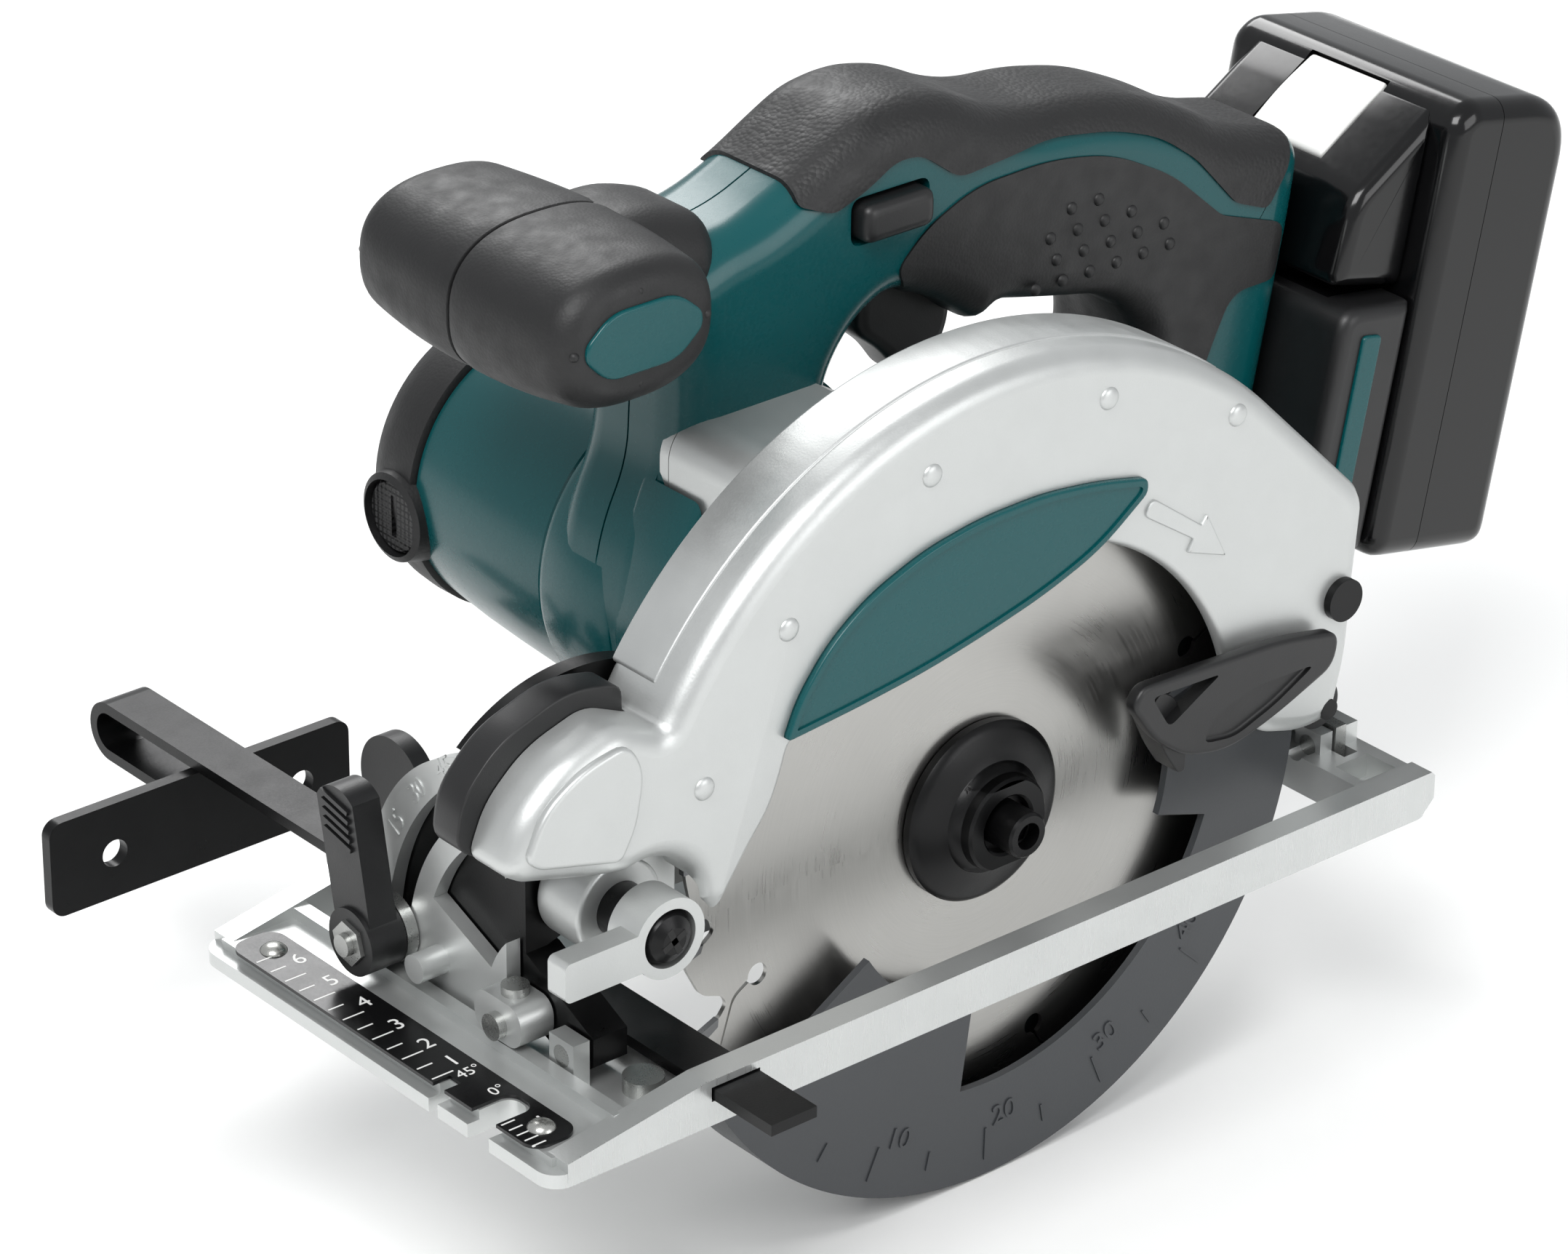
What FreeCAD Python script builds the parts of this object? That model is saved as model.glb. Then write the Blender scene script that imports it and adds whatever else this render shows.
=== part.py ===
import FreeCAD, Part
import math
import os

from FreeCAD import Placement, Rotation, Vector

# Cordless circular saw. Origin: the point of the sole plane under the arbor, in the blade's plane.
# +X runs to the rear (battery end), +Y from the blade to the motor, +Z up. Millimetres.
os.makedirs("parts", exist_ok=True)
doc = FreeCAD.newDocument("circular_saw")

# Driving dimensions -------------------------------------------------------------------------
SIZES = {
    "base_front": -141, "base_rear": 108.5, "rail_outer": -32.7, "rail_width": 6.4,
    "base_motor_side": 88.4, "plate_thick": 3.2, "rail_height": 10.7, "front_thick": 5.4,
    "opening_front": -90.5, "opening_rear": 92, "opening_motor_side": 29,
    "arbor_height": 25.5, "blade_radius": 82.5, "blade_thick": 1.5, "bore_radius": 10,
    "tooth_count": 24, "slot_radius": 63.8,
    "guard_radius": 88.4, "guard_half": 7.7, "guard_wall": 1.8, "guard_window": 65,
    "case_radius": 107.5, "case_half": 12, "case_wall": 2.2, "case_cutout": 64,
    "pivot_x": -99, "pivot_height": 37, "bevel_y": -5, "bevel_height": 10,
    "lever_y": 51, "lever_height": 16, "quadrant_face": -116, "quadrant_thick": 3.6,
    "motor_x": -20, "motor_height": 65.5, "motor_radius": 36, "motor_end": 148,
    "idler_x": -4.74, "idler_height": 46.97, "gear_module": 1,
    "seam_y": 60, "handle_half": 18, "shell_wall": 2.4,
    "strap_width": 12, "strap_thick": 2.6, "strap_front": -99.5, "strap_height": 6,
    "pack_width": 75, "pack_length": 114, "pack_lean": 11.4, "pack_x": 180.8, "pack_height": 22.5,
    "cell_radius": 9.1, "cell_length": 65, "gap": 0.4,
}
sheet = doc.addObject("Spreadsheet::Sheet", "dim")
for row, (alias, value) in enumerate(SIZES.items(), start=1):
    sheet.set("A%d" % row, str(value))
    sheet.setAlias("A%d" % row, alias)
doc.recompute()


def size(alias):
    """Value of one cell of the sheet."""
    return float(sheet.get(alias))


ARBOR = Vector(0, 0, size("arbor_height"))
PIVOT = Vector(size("pivot_x"), 0, size("pivot_height"))
MOTOR = Vector(size("motor_x"), 0, size("motor_height"))
IDLER = Vector(size("idler_x"), 0, size("idler_height"))
BEVEL = Vector(0, size("bevel_y"), size("bevel_height"))
LEVER = Vector(0, size("lever_y"), size("lever_height"))
GAP = size("gap")
SEAM = size("seam_y")
WALL = size("shell_wall")
NODES = []

# Outlines are drawn on the body's own origin planes. Their normals are +Z, -Y and +X.
GROWS = {"XY": 1, "XZ": -1, "YZ": 1}


def edges_of(outline):
    """Edges of a closed outline. Points are (u, v); a point marked ("arc", (u, v)) is passed
    through by an arc between its neighbours."""
    edges = []
    count = len(outline)
    index = 0
    while index < count:
        start = outline[index]
        follow = outline[(index + 1) % count]
        first = Vector(start[0], start[1], 0)
        if follow[0] == "arc":
            last = outline[(index + 2) % count]
            middle = Vector(follow[1][0], follow[1][1], 0)
            edges.append(Part.Arc(first, middle, Vector(last[0], last[1], 0)))
            index += 2
        else:
            edges.append(Part.LineSegment(first, Vector(follow[0], follow[1], 0)))
            index += 1
    return edges


def circle(centre, radius):
    """One full circle as a closed outline."""
    return [Part.Circle(Vector(centre[0], centre[1], 0), Vector(0, 0, 1), radius)]


def rectangle(low, high):
    return edges_of([low, (high[0], low[1]), high, (low[0], high[1])])


def rounded(low, high, radius):
    """Rectangle with four round corners."""
    inset = radius * (1 - math.sqrt(0.5))
    (u0, v0), (u1, v1) = low, high
    return edges_of([
        (u0 + radius, v0), (u1 - radius, v0), ("arc", (u1 - inset, v0 + inset)),
        (u1, v0 + radius), (u1, v1 - radius), ("arc", (u1 - inset, v1 - inset)),
        (u1 - radius, v1), (u0 + radius, v1), ("arc", (u0 + inset, v1 - inset)),
        (u0, v1 - radius), (u0, v0 + radius), ("arc", (u0 + inset, v0 + inset))])


def moved(edges, distance):
    """The outline moved outwards (or inwards, when negative) by a distance, as new edges."""
    wire = Part.Wire(Part.__sortEdges__([edge.toShape() for edge in edges]))
    result = wire.makeOffset2D(distance)
    if (Part.Face(result).Area > Part.Face(wire).Area) != (distance > 0):
        result = wire.makeOffset2D(-distance)
    outline = []
    for edge in result.Edges:
        first, last = edge.firstVertex(True).Point, edge.lastVertex(True).Point
        if isinstance(edge.Curve, Part.Line):
            outline.append(Part.LineSegment(first, last))
        else:
            middle = edge.valueAt((edge.FirstParameter + edge.LastParameter) / 2)
            outline.append(Part.Arc(first, middle, last))
    return outline


class Piece:
    """One sub-part: a PartDesign body built up from padded and pocketed outlines."""

    def __init__(self, label):
        self.body = doc.addObject("PartDesign::Body", "Body_" + label)
        self.body.Label = label
        self.count = 0
        NODES.append(self.body)

    def feature(self, kind, plane, edges, start, end):
        """Pad or pocket of an outline between two levels along the plane's axis. A level may be
        a number or the name of a cell of the sheet."""
        self.count += 1
        low, high = sorted((value_of(start), value_of(end)))
        drawing = self.body.newObject("Sketcher::SketchObject",
                                      "Outline_%s_%d" % (self.body.Label, self.count))
        support = [item for item in self.body.Origin.OriginFeatures
                   if item.Role == plane + "_Plane"][0]
        drawing.AttachmentSupport = [(support, "")]
        drawing.MapMode = "FlatFace"
        level = low if GROWS[plane] > 0 else -high
        drawing.AttachmentOffset = Placement(Vector(0, 0, level), Rotation())
        for edge in edges:
            drawing.addGeometry(edge, False)
        step = self.body.newObject("PartDesign::" + kind,
                                   "%s_%s_%d" % (kind, self.body.Label, self.count))
        step.Profile = drawing
        step.setExpression("Length", "abs(%s - (%s))" % (text_of(end), text_of(start)))
        if kind == "Pocket":
            step.Reversed = True
        self.body.Tip = step
        return self

    def pad(self, plane, edges, start, end):
        return self.feature("Pad", plane, edges, start, end)

    def cut(self, plane, edges, start, end):
        doc.recompute()
        before = self.body.Shape.Volume
        self.feature("Pocket", plane, edges, start, end)
        doc.recompute()
        if self.body.Shape.Volume >= before - 1e-6:
            raise RuntimeError("%s: cut %d removes nothing" % (self.body.Label, self.count))
        return self


def text_of(level):
    return "dim." + level if level in SIZES else str(level)


def value_of(level):
    return size(level) if level in SIZES else float(level)


def turned(label, profile, centre, axis="Y", start=0, sweep=360):
    """Turned piece: a closed profile of (radius, position along the axis) carried round the axis.
    start and sweep are in degrees, from +X towards -Z for an axis along Y."""
    body = doc.addObject("PartDesign::Body", "Body_" + label)
    body.Label = label
    drawing = body.newObject("Sketcher::SketchObject", "Profile_" + label)
    plane = [item for item in body.Origin.OriginFeatures if item.Role == "XZ_Plane"][0]
    drawing.AttachmentSupport = [(plane, "")]
    drawing.MapMode = "FlatFace"
    for edge in edges_of(profile):
        drawing.addGeometry(edge, False)
    step = body.newObject("PartDesign::Revolution", "Turn_" + label)
    step.Profile = drawing
    step.ReferenceAxis = (drawing, ["V_Axis"])
    step.Angle = sweep
    body.Tip = step
    if axis == "Y":
        turn = Rotation(Vector(0, 1, 0), start).multiply(Rotation(Vector(1, 0, 0), -90))
    elif axis == "X":
        turn = Rotation(Vector(0, 1, 0), 90)
    else:
        turn = Rotation()
    body.Placement = Placement(centre, turn)
    NODES.append(body)
    return body


def joined(label, *shapes):
    """Several separate solids of like pieces that share one node."""
    group = doc.addObject("Part::Feature", "Group_" + label)
    group.Label = label
    group.Shape = Part.makeCompound(list(shapes))
    NODES.append(group)
    return group


def rod(radius, start, end, hole=0):
    """Solid or tubular round bar between two points."""
    along = end - start
    bar = Part.makeCylinder(radius, along.Length, start, along)
    if hole:
        bar = bar.cut(Part.makeCylinder(hole, along.Length, start, along))
    return bar


def polar(centre, radius, degrees):
    """Point (x, z) at an angle from +X towards +Z about a centre."""
    turn = math.radians(degrees)
    return (centre[0] + radius * math.cos(turn), centre[1] + radius * math.sin(turn))


def ring_arc(centre, inner, outer, start, end):
    """Outline of a curved slot or band between two angles."""
    half = (start + end) / 2
    return edges_of([
        polar(centre, outer, start), ("arc", polar(centre, outer, half)),
        polar(centre, outer, end), polar(centre, inner, end),
        ("arc", polar(centre, inner, half)), polar(centre, inner, start)])


arbor = (ARBOR.x, ARBOR.z)
pivot = (PIVOT.x, PIVOT.z)
motor = (MOTOR.x, MOTOR.z)
idler = (IDLER.x, IDLER.z)
bevel = (BEVEL.y, BEVEL.z)
lever_centre = (LEVER.y, LEVER.z)

# Base -----------------------------------------------------------------------------------------
front, rear = size("base_front"), size("base_rear")
outer, motor_side = size("rail_outer"), size("base_motor_side")
rail_inner = outer + size("rail_width")
clamp_x = size("strap_front") + size("strap_width") / 2
clamp = (clamp_x, 80)
base = Piece("base_plate")
base.pad("XY", rounded((front, outer), (rear, motor_side), 5), 0, "plate_thick")
base.pad("XY", rectangle((front + 3, outer + 4), (front + 24, motor_side - 4)), 0, "front_thick")
base.pad("XY", rectangle((-121, rail_inner - 1), (-117.4, motor_side - 4)), 2, 8)
base.pad("XY", rectangle((size("opening_rear"), outer + 1), (rear, motor_side - 1)), 2, 9)
base.pad("XY", rounded((clamp_x - 7, 74), (clamp_x + 7, motor_side), 3), 2, 17)
for low, high, top in ((outer, rail_inner, size("rail_height")), (82, motor_side, 12)):
    side = [(front + 4, 1), (rear - 3, 1), (rear, 4), (rear, top - 1), (rear - 1, top),
            (-101, top), (front + 4, size("front_thick"))]
    base.pad("XZ", edges_of(side), low, high)
for low, high in ((-116.8, -112.6), (96, 99.7), (103.9, 107.6)):
    base.pad("YZ", rectangle((bevel[0] - 4, 2), (bevel[0] + 4, 14)), low, high)
base.cut("XY", rectangle((size("opening_front"), rail_inner),
                         (size("opening_rear"), size("opening_motor_side"))), -1, 20)
base.cut("XY", rectangle((99.7, bevel[0] - 8), (103.9, 20)), 3.2, 20)
base.cut("XY", rectangle((95, 32), (105, motor_side - 10)), 3.2, 20)
base.cut("XY", rectangle((95, outer + 9), (105, bevel[0] - 10)), 3.2, 20)
base.cut("XY", rounded((front - 8, -12), (-129.8, -5), 3), -1, 20)
base.cut("XY", rectangle((front - 1, 5), (-135.5, 8)), -1, 20)
channel_low = (size("strap_front") - GAP, size("strap_height") - GAP)
channel_high = (size("strap_front") + size("strap_width") + GAP,
                size("strap_height") + size("strap_thick") + GAP)
base.cut("XZ", rectangle(channel_low, channel_high), outer - 1, motor_side + 1)
base.cut("XY", circle(clamp, 3.1), 8, 20)
base.cut("YZ", circle(bevel, 2.5), -117, 110)

scale = Piece("scale_plate")
scale.pad("XY", rounded((-139.5, -25), (-127.5, 80), 4), 5.4, 6.2)
scale.cut("XY", rounded((-149, -12.5), (-129.3, -4.5), 3), 5, 7)
scale.cut("XY", rectangle((-142, 4.6), (-135.2, 8.4)), 5, 7)
joined("scale_rivets", *[rod(3, Vector(-133, place, 6.2), Vector(-133, place, 7.6))
                         for place in (-19, 72.5)])

# Bevel quadrant: an upright plate with a curved slot, bolted to the front of the base
quadrant = Piece("bevel_quadrant")
face = size("quadrant_face")
back = face + size("quadrant_thick")
arch = [(14, 3.5), (14, 62), ("arc", (15.2, 64.8)), (18, 66), (24, 66),
        ("arc", polar(bevel, 68, 37)), (bevel[0] + 66, 14), (61, 3.5)]
quadrant.pad("YZ", edges_of(arch), face, back)
track = math.hypot(lever_centre[0] - bevel[0], lever_centre[1] - bevel[1])
rest_angle = math.degrees(math.atan2(lever_centre[1] - bevel[1], lever_centre[0] - bevel[0]))
quadrant.cut("YZ", ring_arc(bevel, track - 3.6, track + 3.6, rest_angle - 4, rest_angle + 54),
             face - 1, back + 1)
quadrant.cut("YZ", ring_arc(bevel, 26, 47, 22, 60), face - 1, back + 1)
quadrant.pad("YZ", rounded((3, 8.3), (18.5, 18), 4), -121, back)
quadrant.pad("YZ", circle((36.5, 14), 3.2), -123, face)
joined("set_screws", rod(3, Vector(-116.5, 10.5, 18), Vector(-116.5, 10.5, 20)),
       rod(3, Vector(-123, 10.5, 12), Vector(-121, 10.5, 12)),
       rod(4.4, Vector(-105, -17, 3.2), Vector(-105, -17, 6.8)))
joined("bevel_pins", *[rod(2.47, Vector(low, bevel[0], bevel[1]),
                           Vector(high, bevel[0], bevel[1]))
                       for low, high in ((-116.8, -103), (96, 107.6))])

# Guide rule and its clamp -----------------------------------------------------------------------
strap_end = size("strap_front") + size("strap_width")
strap = [(-51, 6), (183, 6), ("arc", (187.6, 1.4)), (183, -3.2), (151.3, -3.2),
         (151.3, -5.8), (183, -5.8), ("arc", (190.2, 1.4)), (183, 8.6), (-51, 8.6)]
Piece("guide_bar").pad("YZ", edges_of(strap), "strap_front", strap_end)
fence = Piece("guide_fence")
fence.pad("XZ", rounded((-139, -18), (-57.5, 5.4), 3.5), 148.2, 151.2)
for place in (-122, -71):
    fence.cut("XZ", circle((place, -7), 3.3), 147, 153)
screw = Piece("thumb_screw")
screw.pad("XY", circle(clamp, 3.0), 9.1, 19)
screw.pad("XY", circle(clamp, 5.5), 17.5, 20)
screw.pad("YZ", edges_of([(76, 19.5), (84, 19.5), ("arc", (91, 31)), (80, 41),
                          ("arc", (69, 31))]), clamp_x - 2.2, clamp_x + 2.2)

# Tilting carriage -------------------------------------------------------------------------------
bracket = Piece("tilt_bracket")
fan_plate = [(-108, 24), (-89, 30), (-86, 44), polar(pivot, 49, 72),
             ("arc", polar(pivot, 49, 95)), polar(pivot, 47, 125), (-112, 67), (-112, 44)]
bracket.pad("XZ", edges_of(fan_plate), 12.6, 16.6)
panel = [(12.6, 24), (12.6, 58), (34, 62), (44, 48), (57.5, 24), (57.5, 9.6), (44, 9.6)]
bracket.pad("YZ", edges_of(panel), -112, -108)
arm = [(bevel[0] - 4.5, 7.5), (bevel[0] - 2, 5.6), (1, 5.6), (20, 13), (34, 16), (34, 30),
       (12.6, 24.5), (bevel[0] - 4.5, 14)]
bracket.pad("YZ", edges_of(arm), -112, -103.2)
bracket.pad("XZ", circle(pivot, 6), -9, 12.7)
bracket.cut("YZ", circle(bevel, 2.55), -113, -102)
bracket.cut("YZ", circle(lever_centre, 2.6), -113, -107)
collar = Piece("pivot_collar")
collar.pad("XZ", circle(pivot, 9), -18.3, -9.1)
collar.pad("XZ", rounded((-126, 31.5), (-104, 40.5), 1.5), -18.3, -12.6)
collar.cut("XZ", circle(pivot, 6.6), -19, -11)
turned("pivot_screw", [(0, -11.2), (6.3, -11.2), (6.3, -16.5), (5.2, -18.5), (3, -19.8),
                       (0, -19.8)], PIVOT)
joined("bevel_bolt", rod(2.5, Vector(-131, *lever_centre), Vector(-104.3, *lever_centre)),
       rod(5, Vector(-107.9, *lever_centre), Vector(-104.6, *lever_centre), 2.55),
       rod(7.6, Vector(-119.2, *lever_centre), Vector(-116.35, *lever_centre), 2.55))
guide_radius = 150
track_low, track_high = guide_radius - 2.9, guide_radius + 2.9
lock_centre = polar(pivot, guide_radius, -2)
guide = Piece("depth_guide")
guide.pad("XZ", ring_arc(pivot, guide_radius - 6, guide_radius + 6, -6.5, 30.5), 13, 15.5)
guide.pad("XZ", edges_of([(45, 12.5), (100.2, 9.8), (100.2, 5.6), (103.4, 5.6), (103.4, 14.8),
                          (97, 21), (57, 21), (45, 24)]), 13, 15.5)
guide.pad("YZ", rectangle((bevel[0] - 4.6, 5.6), (15.5, 14.8)), 100.2, 103.4)
guide.cut("YZ", circle(bevel, 2.55), 100, 104)
guide.cut("XZ", ring_arc(pivot, track_low, track_high, -4.5, 29), 12, 17)
lever = Piece("bevel_lever")
lever.pad("YZ", circle(lever_centre, 7.6), -128.5, -119.5)
lever.pad("YZ", edges_of([(45, 19), (57.5, 19), (63, 46), ("arc", (58, 50)), (50.5, 48)]),
          -127.5, -120.5)
hexagon = [polar(lever_centre, 5.1, 60 * corner + 12) for corner in range(6)]
lever.cut("YZ", edges_of(hexagon), -129, -119)
nut = Piece("lever_nut")
nut.pad("YZ", moved(edges_of(hexagon), -0.05), -129.5, -119.5)
nut.cut("YZ", circle(lever_centre, 2.56), -132, -116)

# Saw head: upper guard --------------------------------------------------------------------------
case_radius, half = size("case_radius"), size("case_half")
wall = size("case_wall")
centre = (-1, arbor[1])
stop_centre = (95.2, 22)
shell = [(-96.5, 26.5), (-88, 28), (-78, 28.5), (70, 28.5), (78, 20.5), (88, 17.5),
         ("arc", (99, 21)), (101.8, 36), (102.5, 50), (104.5, 72.5), polar(centre, case_radius, 50),
         ("arc", polar(centre, case_radius, 100)), polar(centre, case_radius, 150),
         (-106, 84), ("arc", (-122, 79)), (-131, 71), (-135, 61), (-132, 57.5), (-110, 51.5),
         (pivot[0] - 3, pivot[1] + 14), ("arc", polar(pivot, 14, 20))]
inner = case_radius - wall
cavity = [(-84, 10), (110, 10), (110, 20), (98.5, 32), (99.5, 40), (101.5, 71.5),
          polar(centre, inner, 50), ("arc", polar(centre, inner, 100)), polar(centre, inner, 152),
          (-87, 48)]
window = [(-84, 12), (-84, 33), (-72, 37), (-63, 40), polar(arbor, 64, 165),
          ("arc", polar(arbor, 64, 90)), polar(arbor, 64, 12), (66, 12)]
guard = Piece("upper_guard")
guard.pad("XZ", edges_of(shell), -half, half)
guard.cut("XZ", edges_of(cavity), -half + wall, half - wall)
guard.cut("XZ", edges_of(window), -half - 1, -half + wall + 0.1)
guard.cut("XZ", circle(arbor, 23), half - wall - 0.1, half + 1)
guard.pad("XZ", circle(pivot, 11), -2, half - 0.2)
guard.pad("XZ", edges_of([(-92, 29), (-86, 30), (-86, 48), (-99, 48), (-99, 30)]), -2,
          half - 0.2)
guard.cut("XZ", circle(pivot, 6.05), -14, 14)
guard.cut("XZ", circle(stop_centre, 2.5), -14, 14)
badge = Piece("guard_badge")
badge.pad("XZ", edges_of([(-63, 71), ("arc", (-22, 103)), (34, 99), (33, 95)]),
          -half - 1.2, -half)
turned("rubber_stopper", [(2.5, -8.5), (6, -8.5), (6, 6), (2.5, 6)],
       Vector(stop_centre[0], 0, stop_centre[1]))
joined("guard_screws", rod(5, Vector(96.5, -14, 49.5), Vector(96.5, -12, 49.5)),
       rod(2.45, Vector(stop_centre[0], -12, stop_centre[1]),
           Vector(stop_centre[0], 12, stop_centre[1])))

# Gear housing and gears -------------------------------------------------------------------------
housing_outline = [(-47, 56), (-47, 104), ("arc", (-44.4, 110.4)), (-38, 113), (-10, 113),
                   (22, 92), (24, 50), (20.5, 25), ("arc", (0, 5)), (-20.5, 25), (-30, 34)]
lock_button = (30, 78)
gear_case = Piece("gear_housing")
gear_case.pad("XZ", edges_of(housing_outline), 12.3, 46)
gear_case.cut("XZ", moved(edges_of(housing_outline), -2.6), 15, 47)
gear_case.pad("XZ", circle(arbor, 19), 5.6, 22)
gear_case.cut("XZ", circle(arbor, 16.1), 11, 23)
gear_case.cut("XZ", circle(arbor, 8.4), 5, 12)
gear_case.cut("YZ", circle(lock_button, 5.6), -49, -43)
closing = Piece("bearing_plate")
closing.pad("XZ", edges_of(housing_outline), 46.2, 49)
closing.cut("XZ", circle(motor, 11.1), 46, 50)
closing.cut("XZ", circle(idler, 5.05), 46, 50)


def gear(label, teeth, centre, near, far, bore, mate, offset):
    """Spur gear on an axis along Y. offset is 0 to point a tooth at the mating gear's centre and
    0.5 to point a gap at it."""
    pitch = teeth * size("gear_module") / 2
    root, top = pitch - 1.25 * size("gear_module"), pitch + 0.85 * size("gear_module")
    facing = math.degrees(math.atan2(mate[1] - centre[1], mate[0] - centre[0]))
    step = 360.0 / teeth
    points = []
    for tooth in range(teeth):
        middle = facing + step * (tooth + offset)
        for distance, width in ((root, -0.34), (pitch, -0.195), (top, -0.09), (top, 0.09),
                                (pitch, 0.195), (root, 0.34)):
            points.append(polar(centre, distance, middle + width * step))
    piece = Piece(label)
    piece.pad("XZ", edges_of(points), near, far)
    piece.cut("XZ", circle(centre, bore), near - 1, far + 1)


gear("drive_gear", 30, arbor, 22.8, 30, 6.02, idler, 0)
gear("idler_pinion", 14, idler, 22.5, 30.5, 3.02, arbor, 0.5)
gear("idler_gear", 36, idler, 38, 44, 3.02, motor, 0)
gear("armature_pinion", 12, motor, 37.5, 44.5, 2.5, idler, 0.5)
joined("idler_shaft", rod(3, Vector(idler[0], 22.4, idler[1]), Vector(idler[0], 48.6, idler[1])))
joined("bearings", rod(16, Vector(0, 11.3, arbor[1]), Vector(0, 21, arbor[1]), 6.05),
       rod(9.5, Vector(0, 31.2, arbor[1]), Vector(0, 36.5, arbor[1]), 4.05),
       rod(11, Vector(motor[0], 46.3, motor[1]), Vector(motor[0], 52, motor[1]), 4.05),
       rod(9, Vector(motor[0], 137, motor[1]), Vector(motor[0], 143, motor[1]), 4.05),
       rod(5, Vector(idler[0], 46.3, idler[1]), Vector(idler[0], 49, idler[1]), 3.05))

# Blade and spindle ------------------------------------------------------------------------------
blade = Piece("saw_blade")
teeth = int(size("tooth_count"))
tip = size("blade_radius")
profile = []
for tooth in range(teeth):
    start = 360.0 * tooth / teeth + 5
    profile += [polar(arbor, tip, start), polar(arbor, tip - 1.4, start + 3.0),
                polar(arbor, tip - 4.0, start + 9.0), polar(arbor, tip - 8.6, start + 11.4),
                ("arc", polar(arbor, tip - 9.2, start + 13.2)),
                polar(arbor, tip - 7.0, start + 14.4)]
plate_half = size("blade_thick") / 2
blade.pad("XZ", edges_of(profile), -plate_half, plate_half)
blade.cut("XZ", circle(arbor, size("bore_radius")), -2, 2)
for quarter in range(4):
    blade.cut("XZ", circle(polar(arbor, size("slot_radius"), 197.1 + 90 * quarter), 2.6), -2, 2)
turned("outer_flange", [(4.1, -0.8), (21, -0.8), (21, -3.2), (19, -5), (12, -5.6), (11, -11),
                        (6.6, -11), (6.6, -8), (4.1, -8)], ARBOR)
turned("inner_flange", [(6.05, 0.8), (17, 0.8), (17, 3.6), (12, 5.2), (6.05, 5.2)], ARBOR)
turned("blade_bolt", [(0, -8.2), (0, -14), (2.8, -14), (2.8, -17.3), (5.2, -17.3), (5.2, -8.2)],
       ARBOR)
turned("spindle", [(0, -8), (4.05, -8), (4.05, -0.7), (9.95, -0.7), (9.95, 0.7), (6, 0.7),
                   (6, 30.8), (4, 30.8), (4, 36.4), (0, 36.4)], ARBOR)

# Lower guard: a turned channel, its hub ring and the ears beside the blade ----------------------
guard_radius, guard_half = size("guard_radius"), size("guard_half")
skin = size("guard_wall")
channel = [(65, -guard_half), (guard_radius, -guard_half), (guard_radius, guard_half),
           (24, guard_half), (24, guard_half - skin), (guard_radius - skin, guard_half - skin),
           (guard_radius - skin, -guard_half + skin), (65, -guard_half + skin)]
channel_body = turned("guard_channel", channel, ARBOR, "Y", -15, 165)
NODES.remove(channel_body)


def guard_plate(edges, near):
    """Flat piece of the lower guard's wall, from a near level to a wall thickness further on."""
    plate = Part.Face(Part.Wire(Part.__sortEdges__([edge.toShape() for edge in edges])))
    plate.rotate(Vector(), Vector(1, 0, 0), 90)
    plate.translate(Vector(0, near, 0))
    return plate.extrude(Vector(0, skin, 0))


doc.recompute()
hub = guard_plate(circle(arbor, 25), guard_half - skin)
hub = hub.cut(rod(19.35, Vector(0, 0, arbor[1]), Vector(0, 20, arbor[1])))
front_ear = guard_plate(ring_arc(arbor, 42, 66, 211, 262), -guard_half)
rear_ear = guard_plate(ring_arc(arbor, 50, 66, -18, 14), -guard_half)
lower = channel_body.Shape.fuse([hub, front_ear, rear_ear]).removeSplitter()
joined("lower_guard", lower.Solids[0])
pawl = Piece("guard_lever")
pawl.pad("XZ", edges_of([(66, 24), (77, 27), (90, 35), (91.5, 40), (88, 45), (64, 38.5), (48, 40),
                         (46, 28)]), -17.3, -14.2)
pawl.pad("XZ", edges_of([(38, 42), (46, 30), (52, 24), (57, 24), (56.5, 32), (53, 40),
                         (45, 46)]), -17.3, -8)

# Motor ------------------------------------------------------------------------------------------
radius = size("motor_radius")
turned("motor_housing", [(radius, 78.4), (radius - 1.5, 110), (radius - 3, 127),
                         (radius - 5.6, 127), (radius - 4.1, 110), (radius - 2.6, 78.4)], MOTOR)
cap = turned("end_cap", [(radius - 3.2, 127.2), (radius - 3.6, 134), ("arc", (radius - 6, 142)),
                         (radius - 12, 148), (0, 148), (0, 145.4), (radius - 13, 145.4),
                         ("arc", (radius - 8.6, 141)), (radius - 6.2, 134),
                         (radius - 5.8, 127.2)], MOTOR)
turned("stator", [(24.5, 80), (30, 80), (30, 122), (24.5, 122)], MOTOR)
turned("armature", [(4.02, 84), (22, 84), (22, 116), (10, 117), (10, 128), (4.02, 128)], MOTOR)
turned("armature_shaft", [(0, 36.5), (2.48, 36.5), (2.48, 45), (4, 45), (4, 143), (0, 143)],
       MOTOR)
turned("cooling_fan", [(4.02, 66), (8, 66), (8, 71), (28, 71), (28, 73), (4.02, 73)], MOTOR)
brush_y, brush_height = 135.8, 61


def across(inner_end, outer_end, thick):
    """Two round bars along X, one each side of the motor axis."""
    return [rod(thick, Vector(motor[0] + side * inner_end, brush_y, brush_height),
                Vector(motor[0] + side * outer_end, brush_y, brush_height)) for side in (-1, 1)]


drill = doc.addObject("Part::Feature", "Brush_bores")
drill.Shape = Part.makeCompound(across(26, 40, 8.4))
drilled_cap = doc.addObject("Part::Cut", "Drilled_end_cap")
drilled_cap.Base = cap
drilled_cap.Tool = drill
cap.Label = "end_cap_blank"
drilled_cap.Label = "end_cap"
NODES[NODES.index(cap)] = drilled_cap
joined("brush_caps", *across(28, 33.6, 8))

# Handle shells ----------------------------------------------------------------------------------
lean = math.radians(size("pack_lean"))
pack_corner = (size("pack_x"), size("pack_height"))


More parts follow.
